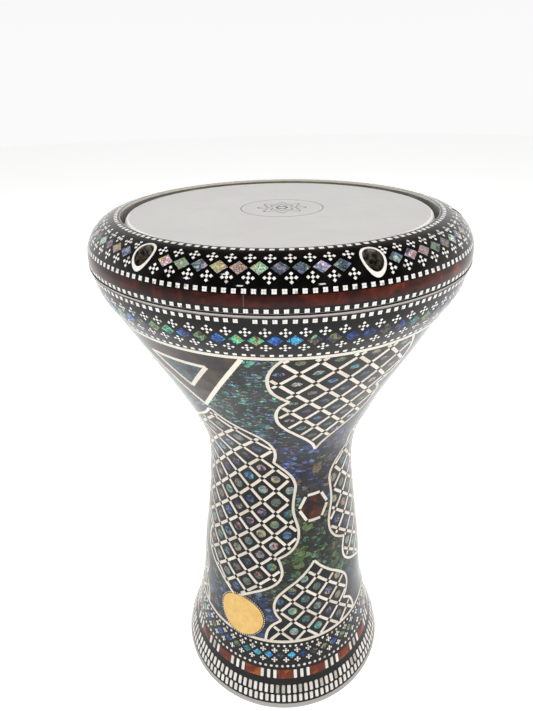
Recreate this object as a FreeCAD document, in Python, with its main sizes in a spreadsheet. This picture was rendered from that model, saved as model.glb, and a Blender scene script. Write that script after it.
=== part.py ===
import FreeCAD, Part
import math
import os
import Sketcher

# Inlaid goblet drum, called a darbuka.  Millimetres.  The drum stands on its foot:
# the origin is the centre of the foot's rim and +Z is the axis of the drum.
# The player's side is -Y, and angles round the drum are counted from it towards +X.

Vector = FreeCAD.Vector
Rotation = FreeCAD.Rotation
Placement = FreeCAD.Placement
Z_AXIS = Vector(0, 0, 1)

doc = FreeCAD.newDocument("darbuka")

# ---------------------------------------------------------------- driving dimensions

# Heights and outer radii of the turned silhouette, from the foot up.
STATIONS = [
    ("foot", 0, 101.9),
    ("toe", 12, 98.8),
    ("instep", 28, 92.7),
    ("arch", 50, 87.1),
    ("ankle", 80, 81.3),
    ("shin", 115, 77.4),
    ("shank", 160, 72.1),
    ("underneck", 205, 66.6),
    ("neck", 240, 64.5),
    ("throat", 268, 68.4),
    ("cup", 295, 78.8),
    ("lower_bowl", 330, 96.0),
    ("bowl", 362, 113.0),
    ("upper_bowl", 390, 127.5),
    ("cheek", 412, 137.5),
    ("collarbone", 421, 139.6),
    ("brim", 425.7, 140.0),
]

DIMENSIONS = [
    # how far tools run past what they cut, and lugs into what they join
    ("overrun", 1.0),
    # turned walls; the slope is the radius gained for each millimetre of height at the foot
    ("foot_slope", -0.24),
    ("shoulder_radius", 25.5),
    ("inlay_depth", 2.0),
    ("casting_wall", 4.8),
    # bare metal edges of the casting
    ("foot_lip_top", 4.6),
    ("brim_lip_bottom", 419.9),
    ("brim_lip_top", 421.1),
    # flange, lugs and bearing edge
    ("flange_underside", 413.0),
    ("collar_inner_radius", 104.5),
    ("collar_outer_radius", 110.5),
    ("bearing_edge_height", 448.3),
    ("bearing_edge_round", 2.0),
    ("lug_radius", 7.5),
    ("lug_bottom", 404.0),
    ("tapped_hole_bottom", 399.0),
    # bands of inlay, each named by its lower edge
    ("foot_pearl_bottom", 68.6),
    ("foot_pearl_top", 71.5),
    ("bowl_pearl_bottom", 386.9),
    ("bowl_pearl_top", 389.5),
    ("block_bottom", 29.4),
    ("block_top", 38.7),
    ("block_pitch", 20.0),
    ("block_width", 9.8),
    ("block_phase", 1.4),
    # plaques let into the neck
    ("plaque_count", 3),
    ("plaque_phase", 24.2),
    ("hexagon_height", 213.5),
    ("hexagon_radius", 14.2),
    ("gable_phase", -35.3),
    ("gable_half_width", 52.0),
    ("gable_tip_height", 328.0),
    ("gable_inner_half_width", 26.0),
    ("gable_inner_tip_height", 349.0),
    ("gable_inner_top", 377.5),
    # presentation disc on the foot
    ("medallion_angle", -27.7),
    ("medallion_height", 91.5),
    ("medallion_radius", 20.6),
    ("medallion_border_radius", 23.0),
    ("medallion_proud", 0.6),
    # tension ring
    ("ring_bottom", 421.8),
    ("ring_inner_radius", 117.0),
    ("nose_bottom", 441.0),
    ("tortoise_bottom", 426.0),
    ("tortoise_top", 432.5),
    # tuning bolts, M6 x 1
    ("bolt_count", 6),
    ("bolt_phase", -36.8),
    ("bolt_circle_radius", 129.5),
    ("bolt_seat_height", 432.5),
    ("bolt_radius", 3.0),
    ("bolt_length", 25.0),
    ("bolt_head_radius", 5.0),
    ("bolt_head_height", 6.0),
    ("bolt_head_chamfer", 0.6),
    ("socket_across_flats", 5.0),
    ("socket_depth", 3.4),
    ("thread_clearance", 0.05),
    ("ring_hole_clearance", 0.3),
    ("washer_thickness", 1.0),
    ("washer_outer_radius", 5.7),
    ("washer_inner_radius", 3.2),
    ("ferrule_outer_radius", 7.6),
    ("ferrule_inner_radius", 6.0),
    ("well_radius", 6.6),
    # head
    ("film_thickness", 0.3),
    ("film_top", 448.9),
    ("film_flat_radius", 108.5),
    ("film_bend_radius", 2.6),
    ("film_skirt_angle", 65.0),
    ("film_edge_bottom", 435.5),
    ("hoop_inner_radius", 112.0),
    ("hoop_outer_radius", 116.7),
    ("hoop_bottom", 433.2),
    ("hoop_wall", 0.8),
    ("bond_top", 439.6),
]


def make_sheet():
    """Put every driving dimension in a cell whose alias is its name."""
    sheet = doc.addObject("Spreadsheet::Sheet", "dims")
    rows = list(DIMENSIONS)
    for name, height, radius in STATIONS:
        rows.append((name + "_height", height))
        rows.append((name + "_radius", radius))
    for row, (alias, number) in enumerate(rows, start=1):
        sheet.set("A%d" % row, alias)
        sheet.set("B%d" % row, str(number))
        sheet.setAlias("B%d" % row, alias)
    doc.recompute()
    return sheet


dims = make_sheet()


def value(expression):
    """The number that a formula on the sheet gives now."""
    return float(dims.evalExpression(expression))


# ---------------------------------------------------------------- shared helpers

parts = []


def keep(feature, label):
    """Name a finished sub-part: its label is its node's and its file's name."""
    feature.Label = label
    parts.append(feature)
    return feature


def combine(kind, name, base, tool):
    """A Part::Cut or Part::Common of two objects."""
    feature = doc.addObject("Part::" + kind, name)
    feature.Base = base
    feature.Tool = tool
    return feature


def fuse(name, shapes):
    feature = doc.addObject("Part::MultiFuse", name)
    feature.Shapes = shapes
    return feature


def cylinder(name, radius, low, high):
    """A cylinder on the drum's axis between two heights; the sizes are formulas."""
    feature = doc.addObject("Part::Cylinder", name)
    feature.setExpression("Radius", radius)
    feature.setExpression("Height", "(%s) - (%s)" % (high, low))
    feature.setExpression(".Placement.Base.z", low)
    return feature


def slab(name, low, high):
    """Everything between two heights."""
    return cylinder(name, "dims.brim_radius + dims.shoulder_radius", low, high)


def place_on_bolt_circle(feature, index):
    """Stand a feature on the bolt circle, at bolt number index."""
    angle = "(dims.bolt_phase + %d * 360 / dims.bolt_count)" % index
    feature.setExpression(".Placement.Base.x", "dims.bolt_circle_radius * sin(%s)" % angle)
    feature.setExpression(".Placement.Base.y", "-dims.bolt_circle_radius * cos(%s)" % angle)


def bolt_cylinders(name, radius, low, high):
    """One upright cylinder at each bolt, fused into one tool."""
    pins = []
    for index in range(int(dims.bolt_count)):
        pin = cylinder("%s_%d" % (name, index + 1), radius, low, high)
        place_on_bolt_circle(pin, index)
        pins.append(pin)
    return fuse(name, pins)


def on_axis_plane(angle_degrees):
    """Turns a shape drawn in XZ, facing -Y, to face another way round the drum."""
    return Placement(Vector(0, 0, 0), Rotation(Z_AXIS, angle_degrees))


# ---------------------------------------------------------------- turned silhouette

def silhouette(name, inset):
    """The solid of revolution inside the outer surface, moved inwards by inset.

    A spline runs from the foot to the brim, where it meets the round shoulder.
    """
    points = []
    for station, _, _ in STATIONS:
        radius = value("dims.%s_radius" % station) - inset
        points.append(Vector(radius, 0, value("dims.%s_height" % station)))
    spline = Part.BSplineCurve()
    spline.interpolate(Points=points, InitialTangent=Vector(dims.foot_slope, 0, 1),
                       FinalTangent=Z_AXIS)
    foot, brim = points[0], points[-1]
    shoulder = dims.shoulder_radius - inset
    centre = Vector(dims.brim_radius - dims.shoulder_radius, 0, brim.z)
    crown = centre + Vector(0, 0, shoulder)
    middle = centre + Vector(math.cos(math.pi / 4), 0, math.sin(math.pi / 4)) * shoulder
    edges = [
        Part.makeLine(Vector(0, 0, foot.z), foot),
        spline.toShape(),
        Part.Arc(brim, middle, crown).toShape(),
        Part.makeLine(crown, Vector(0, 0, crown.z)),
        Part.makeLine(Vector(0, 0, crown.z), Vector(0, 0, foot.z)),
    ]
    feature = doc.addObject("Part::Feature", name)
    feature.Shape = Part.Face(Part.Wire(edges)).revolve(Vector(0, 0, 0), Z_AXIS, 360)
    return feature


outer = silhouette("silhouette_outer", 0)
core = silhouette("silhouette_under_inlay", dims.inlay_depth)
cavity = silhouette("silhouette_inside", dims.inlay_depth + dims.casting_wall)
proud = silhouette("silhouette_medallion", -dims.medallion_proud)

inlay_shell = combine("Cut", "inlay_shell", outer, core)

# ---------------------------------------------------------------- shell casting


def make_shell_casting():
    """Bowl, neck and foot in one aluminium casting, with flange, lugs and bearing edge."""
    walls = combine("Common", "casting_outside", core,
                    slab("casting_height", "dims.foot_height", "dims.brim_lip_top"))
    foot_lip = combine("Common", "foot_lip", outer,
                       slab("foot_lip_height", "dims.foot_height", "dims.foot_lip_top"))
    brim_lip = combine("Common", "brim_lip", outer,
                       slab("brim_lip_height", "dims.brim_lip_bottom", "dims.brim_lip_top"))
    hollow = combine("Common", "bowl_hollow", cavity,
                     slab("bowl_hollow_height", "dims.foot_height", "dims.flange_underside"))
    shelled = combine("Cut", "casting_walls", fuse("casting_blank", [walls, foot_lip, brim_lip]),
                      hollow)
    lugs = combine("Common", "bolt_lugs",
                   bolt_cylinders("lug", "dims.lug_radius", "dims.lug_bottom",
                                  "dims.flange_underside + dims.overrun"), core)
    collar = cylinder("collar_outside", "dims.collar_outer_radius", "dims.flange_underside",
                      "dims.bearing_edge_height")
    crowned = doc.addObject("Part::Fillet", "collar_crowned")
    crowned.Base = collar
    doc.recompute()
    crown_edges = [number for number, edge in enumerate(collar.Shape.Edges, start=1)
                   if edge.BoundBox.ZMin > dims.bearing_edge_height - dims.bearing_edge_round
                   and edge.Length > dims.collar_outer_radius]
    crowned.Edges = [(number, dims.bearing_edge_round, dims.bearing_edge_round)
                     for number in crown_edges]
    solid = fuse("casting_solid", [shelled, lugs, crowned])
    mouth = cylinder("collar_inside", "dims.collar_inner_radius",
                     "dims.flange_underside - dims.overrun",
                     "dims.bearing_edge_height + dims.overrun")
    threads = bolt_cylinders("tapped_hole", "dims.bolt_radius + dims.thread_clearance",
                             "dims.tapped_hole_bottom", "dims.brim_lip_top + dims.overrun")
    casting = combine("Cut", "shell_casting", solid, fuse("casting_cutters", [mouth, threads]))
    return keep(casting, "shell_casting")


make_shell_casting()

# ---------------------------------------------------------------- presentation disc


def radial_rod(name, radius):
    """A rod that sticks out through the wall where the presentation disc sits."""
    rod = doc.addObject("Part::Cylinder", name)
    rod.setExpression("Radius", radius)
    rod.setExpression("Height", "dims.foot_radius")
    facing_front = Rotation(Vector(1, 0, 0), 90)
    turn = Rotation(Z_AXIS, dims.medallion_angle)
    rod.Placement = Placement(Vector(0, 0, dims.medallion_height), turn * facing_front)
    rod.setExpression(".Placement.Base.z", "dims.medallion_height")
    return rod


def make_medallion():
    """A thin disc curved to the foot, and the twisted border round it."""
    plate = combine("Cut", "medallion_plate", proud, core)
    disc_rod = radial_rod("medallion_rod", "dims.medallion_radius")
    border_rod = radial_rod("medallion_border_rod", "dims.medallion_border_radius")
    keep(combine("Common", "medallion_disc", plate, disc_rod), "medallion_disc")
    ring = combine("Cut", "medallion_border_tube", border_rod, disc_rod)
    keep(combine("Common", "medallion_border", inlay_shell, ring), "medallion_border")
    return border_rod


medallion_pocket = make_medallion()

# ---------------------------------------------------------------- plaques in the neck


def radial_plaque_cutters(name, outline, phase):
    """Prisms that point outwards through the wall, one for each repeat of the pattern.

    The outline is a list of (width, height) formulas as seen from outside.
    """
    corners = [Vector(value(width), -value("dims.neck_radius") / 2, value(height))
               for width, height in outline]
    profile = Part.Face(Part.makePolygon(corners + corners[:1]))
    prism = profile.extrude(Vector(0, -value("dims.brim_radius"), 0))
    repeats = []
    for index in range(int(dims.plaque_count)):
        turned = prism.copy()
        turned.Placement = on_axis_plane(phase + index * 360 / dims.plaque_count)
        repeats.append(turned)
    feature = doc.addObject("Part::Feature", name)
    feature.Shape = Part.makeCompound(repeats)
    return feature


def hexagon_outline():
    """Six corners, with one at the left and one at the right."""
    corners = []
    for corner in range(6):
        width = "dims.hexagon_radius * cos(%d * 60)" % corner
        height = "dims.hexagon_height + dims.hexagon_radius * sin(%d * 60)" % corner
        corners.append((width, height))
    return corners


GABLE_OUTLINE = [
    ("-dims.gable_half_width", "dims.bowl_pearl_bottom"),
    ("0", "dims.gable_tip_height"),
    ("dims.gable_half_width", "dims.bowl_pearl_bottom"),
]
GABLE_CENTRE_OUTLINE = [
    ("-dims.gable_inner_half_width", "dims.gable_inner_top"),
    ("0", "dims.gable_inner_tip_height"),
    ("dims.gable_inner_half_width", "dims.gable_inner_top"),
]


def make_neck_inlay():
    """The neck's shell band, and the plaques let into it."""
    band = combine("Common", "neck_band", inlay_shell,
                   slab("neck_band_height", "dims.foot_pearl_top", "dims.bowl_pearl_bottom"))
    hexagons = radial_plaque_cutters("hexagon_cutters", hexagon_outline(), dims.plaque_phase)
    gables = radial_plaque_cutters("gable_cutters", GABLE_OUTLINE, dims.gable_phase)
    centres = radial_plaque_cutters("gable_centre_cutters", GABLE_CENTRE_OUTLINE,
                                    dims.gable_phase)
    keep(combine("Common", "neck_hexagon_plaques", band, hexagons), "neck_hexagon_plaques")
    gable_field = combine("Common", "gable_field", band, gables)
    keep(combine("Common", "gable_shell_centres", band, centres), "gable_shell_centres")
    keep(combine("Cut", "gable_tortoise_panels", gable_field, centres), "gable_tortoise_panels")
    pockets = fuse("neck_pockets", [hexagons, gables, medallion_pocket])
    keep(combine("Cut", "neck_inlay_sleeve", band, pockets), "neck_inlay_sleeve")


make_neck_inlay()

# ---------------------------------------------------------------- bands of the bowl and foot


def band(label, low, high, pocket=None):
    """One ring of the inlay between two heights, less what is let into it."""
    ring = combine("Common", label + "_ring" if pocket else label, inlay_shell,
                   slab(label + "_height", low, high))
    if pocket:
        ring = combine("Cut", label, ring, pocket)
    return keep(ring, label)


def block_cutters():
    """Wedges that cut the row of tortoiseshell blocks out of the foot band."""
    reach = value("dims.foot_radius")
    low = value("dims.block_bottom")
    tall = value("dims.block_top - dims.block_bottom")
    wedges = []
    for index in range(round(360 / dims.block_pitch)):
        middle = dims.block_phase + index * dims.block_pitch
        wedge = Part.makeCylinder(reach, tall, Vector(0, 0, low), Z_AXIS, dims.block_width)
        wedge.Placement = Placement(Vector(0, 0, low),
                                    Rotation(Z_AXIS, middle - dims.block_width / 2 - 90))
        wedges.append(wedge)
    feature = doc.addObject("Part::Feature", "block_cutters")
    feature.Shape = Part.makeCompound(wedges)
    return feature


def make_bands():
    blocks = block_cutters()
    keep(combine("Common", "foot_tortoise_blocks", inlay_shell, blocks), "foot_tortoise_blocks")
    band("foot_inlay_band", "dims.foot_lip_top", "dims.foot_pearl_bottom",
         fuse("foot_pockets", [blocks, medallion_pocket]))
    band("foot_pearl_ring", "dims.foot_pearl_bottom", "dims.foot_pearl_top", medallion_pocket)
    band("bowl_pearl_ring", "dims.bowl_pearl_bottom", "dims.bowl_pearl_top")
    band("bowl_inlay_band", "dims.bowl_pearl_top", "dims.brim_lip_bottom")


make_bands()

# ---------------------------------------------------------------- tension ring


def make_tension_ring():
    """The bezel that six bolts pull down on the head, and its inlaid shoulder."""
    nose_radius = "dims.brim_radius - dims.shoulder_radius"
    top = "dims.brim_height + dims.shoulder_radius + dims.overrun"
    bottom = "dims.ring_bottom - dims.overrun"
    height = slab("ring_height", "dims.ring_bottom", top)
    seat = "dims.bolt_seat_height - dims.washer_thickness"
    wells = bolt_cylinders("well", "dims.well_radius", seat, top)
    ferrule_pockets = bolt_cylinders("ferrule_pocket", "dims.ferrule_outer_radius", seat, top)
    holes = bolt_cylinders("ring_hole", "dims.bolt_radius + dims.ring_hole_clearance", bottom,
                           top)
    bore = cylinder("ring_bore", nose_radius, bottom, top)
    recess = cylinder("hoop_recess", "dims.ring_inner_radius", bottom, "dims.nose_bottom")
    ring = combine("Common", "ring_blank", core, height)
    ring_cutters = fuse("ring_cutters", [bore, recess, wells, holes])
    keep(combine("Cut", "tension_ring", ring, ring_cutters), "tension_ring")

    skin = combine("Common", "shoulder_skin", inlay_shell, height)
    tortoise = slab("tortoise_height", "dims.tortoise_bottom", "dims.tortoise_top")
    shoulder_cutters = fuse("shoulder_cutters", [bore, ferrule_pockets, tortoise])
    keep(combine("Cut", "ring_inlay_shoulder", skin, shoulder_cutters), "ring_inlay_shoulder")
    tortoise_ring = combine("Common", "tortoise_ring", skin, tortoise)
    keep(combine("Cut", "ring_tortoise_band", tortoise_ring, ferrule_pockets),
         "ring_tortoise_band")

    mouths = bolt_cylinders("ferrule_mouth", "dims.ferrule_inner_radius", seat, top)
    tubes = combine("Cut", "ferrule_tubes", ferrule_pockets, mouths)
    keep(combine("Common", "bolt_well_ferrules", tubes, skin), "bolt_well_ferrules")


make_tension_ring()


def make_washers():
    """A plain washer under each bolt head."""
    seat = "dims.bolt_seat_height - dims.washer_thickness"
    discs = bolt_cylinders("washer_disc", "dims.washer_outer_radius", seat,
                           "dims.bolt_seat_height")
    holes = bolt_cylinders("washer_hole", "dims.washer_inner_radius", seat,
                           "dims.bolt_seat_height")
    keep(combine("Cut", "bolt_washers", discs, holes), "bolt_washers")


make_washers()

# ---------------------------------------------------------------- bodies made from sketches


def origin_plane(body, role):
    return next(item for item in body.Origin.OriginFeatures if item.Role == role)


def new_sketch(body, name, role):
    sketch = body.newObject("Sketcher::SketchObject", name)
    sketch.AttachmentSupport = [(origin_plane(body, role), "")]
    sketch.MapMode = "FlatFace"
    return sketch


def bind_point(sketch, geometry, vertex, across, up):
    """Hold a sketch point at two distances from the sketch's origin; both are formulas."""
    for kind, formula in (("DistanceX", across), ("DistanceY", up)):
        index = sketch.addConstraint(
            Sketcher.Constraint(kind, -1, 1, geometry, vertex, value(formula)))
        sketch.setExpression("Constraints[%d]" % index, formula)


def add_outline(sketch, corners):
    """A closed outline of straight lines through corners given as formulas."""
    places = [Vector(value(across), value(up), 0) for across, up in corners]
    count = len(places)
    for index in range(count):
        sketch.addGeometry(Part.LineSegment(places[index], places[(index + 1) % count]), False)
    for index in range(count):
        sketch.addConstraint(
            Sketcher.Constraint("Coincident", index, 2, (index + 1) % count, 1))
    for index, (across, up) in enumerate(corners):
        bind_point(sketch, index, 1, across, up)


def turned_body(label, corners):
    """A ring turned about the drum's axis from a section of straight lines."""
    body = doc.addObject("PartDesign::Body", label + "_body")
    sketch = new_sketch(body, label + "_section", "XZ_Plane")
    add_outline(sketch, corners)
    turn = body.newObject("PartDesign::Revolution", label + "_turn")
    turn.Profile = sketch
    turn.ReferenceAxis = (sketch, ["V_Axis"])
    turn.Angle = 360
    body.Tip = turn
    return keep(body, label)


def round_pad(body, name, radius, length, downwards=False):
    """A round pad on the body's XY plane."""
    sketch = new_sketch(body, name + "_circle", "XY_Plane")
    sketch.addGeometry(Part.Circle(Vector(0, 0, 0), Z_AXIS, value(radius)), False)
    sketch.addConstraint(Sketcher.Constraint("Coincident", 0, 3, -1, 1))
    index = sketch.addConstraint(Sketcher.Constraint("Radius", 0, value(radius)))
    sketch.setExpression("Constraints[%d]" % index, radius)
    pad = body.newObject("PartDesign::Pad", name)
    pad.Profile = sketch
    pad.setExpression("Length", length)
    pad.Reversed = downwards
    return pad


def make_hoop():
    """The U-shaped channel that holds the edge of the film, and the bond in it."""
    inner_wall = "dims.hoop_inner_radius + dims.hoop_wall"
    outer_wall = "dims.hoop_outer_radius - dims.hoop_wall"
    floor = "dims.hoop_bottom + dims.hoop_wall"
    turned_body("head_hoop", [
        ("dims.hoop_inner_radius", "dims.hoop_bottom"),
        ("dims.hoop_outer_radius", "dims.hoop_bottom"),
        ("dims.hoop_outer_radius", "dims.nose_bottom"),
        (outer_wall, "dims.nose_bottom"),
        (outer_wall, floor),
        (inner_wall, floor),
        (inner_wall, "dims.nose_bottom"),
        ("dims.hoop_inner_radius", "dims.nose_bottom"),
    ])
    film_outside = "%f" % film_edge_radius()
    film_inside = "%f - dims.film_thickness" % film_edge_radius()
    turned_body("head_bond", [
        (inner_wall, floor),
        (outer_wall, floor),
        (outer_wall, "dims.bond_top"),
        (film_outside, "dims.bond_top"),
        (film_outside, "dims.film_edge_bottom"),
        (film_inside, "dims.film_edge_bottom"),
        (film_inside, "dims.bond_top"),
        (inner_wall, "dims.bond_top"),
    ])


def film_edge_radius():
    """Outside radius of the film where it drops into the hoop."""
    slope = math.radians(dims.film_skirt_angle)
    bend_end = dims.film_flat_radius + dims.film_bend_radius * math.sin(slope)
    bend_height = dims.film_top - dims.film_bend_radius * (1 - math.cos(slope))
    return bend_end + (bend_height - dims.nose_bottom) / math.tan(slope)


def make_film():
    """The plastic film: a flat playing face bent over the bearing edge into a skirt."""
    slope = math.radians(dims.film_skirt_angle)
    centre = Vector(dims.film_flat_radius, 0, dims.film_top - dims.film_bend_radius)

    def bend_point(radius, turn):
        return centre + Vector(math.sin(turn), 0, math.cos(turn)) * radius

    thick = dims.film_thickness
    outside = dims.film_bend_radius
    inside = outside - thick
    edge = film_edge_radius()
    inner_knee_height = dims.nose_bottom - thick * math.tan(slope / 2)
    outer_bend = Part.Arc(bend_point(outside, 0), bend_point(outside, slope / 2),
                          bend_point(outside, slope))
    inner_bend = Part.Arc(bend_point(inside, slope), bend_point(inside, slope / 2),
                          bend_point(inside, 0))
    corners_outside = [
        bend_point(outside, slope),
        Vector(edge, 0, dims.nose_bottom),
        Vector(edge, 0, dims.film_edge_bottom),
        Vector(edge - thick, 0, dims.film_edge_bottom),
        Vector(edge - thick, 0, inner_knee_height),
        bend_point(inside, slope),
    ]
    axis_top = Vector(0, 0, dims.film_top)
    axis_bottom = axis_top - Vector(0, 0, thick)
    edges = [
        Part.makeLine(axis_top, bend_point(outside, 0)),
        outer_bend.toShape(),
        Part.makePolygon(corners_outside),
        inner_bend.toShape(),
        Part.makeLine(bend_point(inside, 0), axis_bottom),
        Part.makeLine(axis_bottom, axis_top),
    ]
    wire = Part.Wire(Part.__sortEdges__([edge for piece in edges for edge in piece.Edges]))
    feature = doc.addObject("Part::Feature", "head_film")
    feature.Shape = Part.Face(wire).revolve(Vector(0, 0, 0), Z_AXIS, 360)
    return keep(feature, "head_film")


make_hoop()
make_film()

# ---------------------------------------------------------------- tuning bolts


def hexagon_sketch(body, name, height):
    """A regular hexagon for the socket, on the body's XY plane lifted to a height."""
    sketch = new_sketch(body, name, "XY_Plane")
    sketch.setExpression(".AttachmentOffset.Base.z", height)
    corners = []
    for corner in range(6):
        reach = "dims.socket_across_flats / sqrt(3)"
        corners.append(("%s * cos(%d * 60)" % (reach, corner),
                        "%s * sin(%d * 60)" % (reach, corner)))
    add_outline(sketch, corners)
    return sketch


def top_edge(pad, height, radius):
    """The name of the round edge at a height with a radius."""
    for number, edge in enumerate(pad.Shape.Edges, start=1):
        level = edge.BoundBox.ZMin > height - 0.01 and edge.BoundBox.ZMax < height + 0.01
        if level and abs(edge.Length - 2 * math.pi * radius) < 0.01:
            return "Edge%d" % number
    raise ValueError("no round edge at height %g" % height)


def make_bolt(number):
    """A socket cap bolt, modelled from the underside of its head, hanging in its well."""
    label = "tuning_bolt_%d" % number
    body = doc.addObject("PartDesign::Body", label + "_body")
    round_pad(body, label + "_head", "dims.bolt_head_radius", "dims.bolt_head_height")
    head = round_pad(body, label + "_shank", "dims.bolt_radius", "dims.bolt_length",
                     downwards=True)
    doc.recompute()
    chamfer = body.newObject("PartDesign::Chamfer", label + "_chamfer")
    chamfer.Base = (head, [top_edge(head, dims.bolt_head_height, dims.bolt_head_radius)])
    chamfer.setExpression("Size", "dims.bolt_head_chamfer")
    doc.recompute()
    socket = body.newObject("PartDesign::Pocket", label + "_socket")
    socket.Profile = hexagon_sketch(body, label + "_hexagon", "dims.bolt_head_height")
    socket.setExpression("Length", "dims.socket_depth")
    body.Tip = socket
    place_on_bolt_circle(body, number - 1)
    body.setExpression(".Placement.Base.z", "dims.bolt_seat_height")
    return keep(body, label)


for bolt_number in range(1, int(dims.bolt_count) + 1):
    make_bolt(bolt_number)

# ---------------------------------------------------------------- check and write


def check_document():
    """Stop if any object failed, or if a sub-part has no sound shape."""
    doc.recompute()
    for item in doc.Objects:
        if "Invalid" in item.State or "Error" in item.State:
            raise ValueError("%s failed: %s" % (item.Label, item.State))
    for part in parts:
        shape = part.Shape
        if shape.isNull() or not shape.isValid() or not shape.Solids:
            raise ValueError("%s has no sound shape" % part.Label)


def write_parts():
    os.makedirs("parts", exist_ok=True)
    for part in parts:
        part.Shape.exportStep("parts/%s.step" % part.Label)
        print("%-24s %3d solids %12.1f mm3" % (part.Label, len(part.Shape.Solids),
                                              part.Shape.Volume))


check_document()
write_parts()
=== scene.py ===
# %% [markdown]
# # An inlaid goblet drum
# This lesson dresses a darbuka: a cast aluminium goblet covered with pearl, shell and dark
# resin, with a tension ring that six bolts pull down over a film head.  The frame holds the
# sizes and the moving bodies, so the first step is to load it, and every later step asks it
# where things are.  Working in one shared frame means that nothing is fitted by eye afterwards.

# %% Load the frame
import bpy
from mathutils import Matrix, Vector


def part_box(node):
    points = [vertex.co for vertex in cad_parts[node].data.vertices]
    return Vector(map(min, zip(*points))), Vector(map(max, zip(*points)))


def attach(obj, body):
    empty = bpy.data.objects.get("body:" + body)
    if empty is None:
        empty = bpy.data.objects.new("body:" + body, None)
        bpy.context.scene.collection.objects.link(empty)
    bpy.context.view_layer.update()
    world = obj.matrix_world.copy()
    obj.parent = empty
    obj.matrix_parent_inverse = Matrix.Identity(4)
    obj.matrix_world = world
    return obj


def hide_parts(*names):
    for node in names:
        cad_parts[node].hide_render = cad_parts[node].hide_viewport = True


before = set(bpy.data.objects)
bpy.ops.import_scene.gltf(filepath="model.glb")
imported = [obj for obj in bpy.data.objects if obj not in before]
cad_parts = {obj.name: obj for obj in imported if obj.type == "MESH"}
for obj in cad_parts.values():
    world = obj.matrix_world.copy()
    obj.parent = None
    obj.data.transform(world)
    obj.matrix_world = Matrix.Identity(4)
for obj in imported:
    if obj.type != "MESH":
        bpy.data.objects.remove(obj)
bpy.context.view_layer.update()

# %% Modules and units
import math
import random

import bpy
import numpy as np
from mathutils import Matrix, Vector

MM = 0.001
COPIES = 3                      # the neck's pattern comes three times round the drum
THIRD = 360 / COPIES
LAID_BY_EYE = [0, -3.5, 1.0]    # degrees by which each copy misses its even third

# %% [markdown]
# ## The drum's outline
# Every tile lies on one turned surface, so the lesson needs that surface as numbers: the radius
# at any height.  It could be typed in again, but then two files would have to agree.  The frame
# already knows it: the widest vertex at each level of the inlay nodes is a point of the outline.
# A smooth curve through those points, and a quarter circle for the ring's shoulder, give the
# whole profile.  Distances measured along the profile are called "along" from here on.

# %% Read the outline from the inlay nodes
LEVEL = 2.0                     # millimetres of height in one level
APART = 3.5                     # least distance between two points of the outline


def widest_points(node, low, high):
    """The widest vertex of a node at each level between two heights, as (height, radius)."""
    widest = {}
    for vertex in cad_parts[node].data.vertices:
        x, y, height = (axis / MM for axis in vertex.co)
        radius = math.hypot(x, y)
        level = round(height / LEVEL)
        if low <= height <= high and radius > widest.get(level, (0, 0))[1]:
            widest[level] = (height, radius)
    return sorted(widest.values())


def outer_only(points):
    """Leave out points of the inlay's inner face, which lie well inside their neighbours."""
    kept = list(points)
    for before, point, after in zip(points, points[1:], points[2:]):
        share = (point[0] - before[0]) / (after[0] - before[0])
        if point[1] < before[1] + share * (after[1] - before[1]) - 0.6:
            kept.remove(point)
    return kept


shoulder_low, shoulder_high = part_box("ring_inlay_shoulder")
TOP = shoulder_high.z / MM
BRIM_RADIUS = shoulder_high.x / MM
NOSE_RADIUS = min(math.hypot(v.co.x, v.co.y) for v in
                  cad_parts["ring_inlay_shoulder"].data.vertices) / MM
SHOULDER = BRIM_RADIUS - NOSE_RADIUS
BRIM = TOP - SHOULDER
LIP_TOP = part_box("foot_inlay_band")[0].z / MM
RING_BOTTOM = shoulder_low.z / MM

measured = widest_points("shell_casting", 0, LIP_TOP - 0.1)
for inlay_node in ["foot_inlay_band", "foot_pearl_ring", "neck_inlay_sleeve",
                   "bowl_pearl_ring", "bowl_inlay_band"]:
    measured += widest_points(inlay_node, LIP_TOP, RING_BOTTOM)
measured = outer_only(outer_only(sorted(measured)))
outline = measured[:1]
for point in measured[1:]:
    if point[0] - outline[-1][0] > APART:
        outline.append(point)
outline.append((BRIM, BRIM_RADIUS))
print(len(outline), "points; shoulder radius", round(SHOULDER, 2), "mm, brim at", round(BRIM, 2))

# %% Turn the outline into a surface that can be asked for any place
STEP = 0.5


def smooth_curve(xs, ys, where):
    """A cubic through points, whose slopes come from each point's neighbours."""
    slopes = np.gradient(ys, xs)
    span = np.clip(np.searchsorted(xs, where) - 1, 0, len(xs) - 2)
    width = xs[span + 1] - xs[span]
    t = (where - xs[span]) / width
    rise, fall = t * t * (3 - 2 * t), (1 + 2 * t) * (1 - t) ** 2
    lead, trail = t * (1 - t) ** 2 * width, t * t * (t - 1) * width
    return (fall * ys[span] + lead * slopes[span] + rise * ys[span + 1]
            + trail * slopes[span + 1])


outline_heights, outline_radii = np.array(outline).T
wall_heights = np.arange(0, BRIM, STEP)
wall_radii = smooth_curve(outline_heights, outline_radii, wall_heights)
bends = np.linspace(0, math.pi / 2, 81)
HEIGHTS = np.concatenate([wall_heights, BRIM + SHOULDER * np.sin(bends)])
RADII = np.concatenate([wall_radii, NOSE_RADIUS + SHOULDER * np.cos(bends)])
ALONG = np.concatenate([[0], np.cumsum(np.hypot(np.diff(HEIGHTS), np.diff(RADII)))])
OUTWARD, UPWARD = np.gradient(HEIGHTS, ALONG), -np.gradient(RADII, ALONG)
BRIM_ALONG = ALONG[len(wall_heights)]


def along_at(height):
    return np.interp(height, HEIGHTS, ALONG)


def radius_at(along):
    return np.interp(along, ALONG, RADII)


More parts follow.
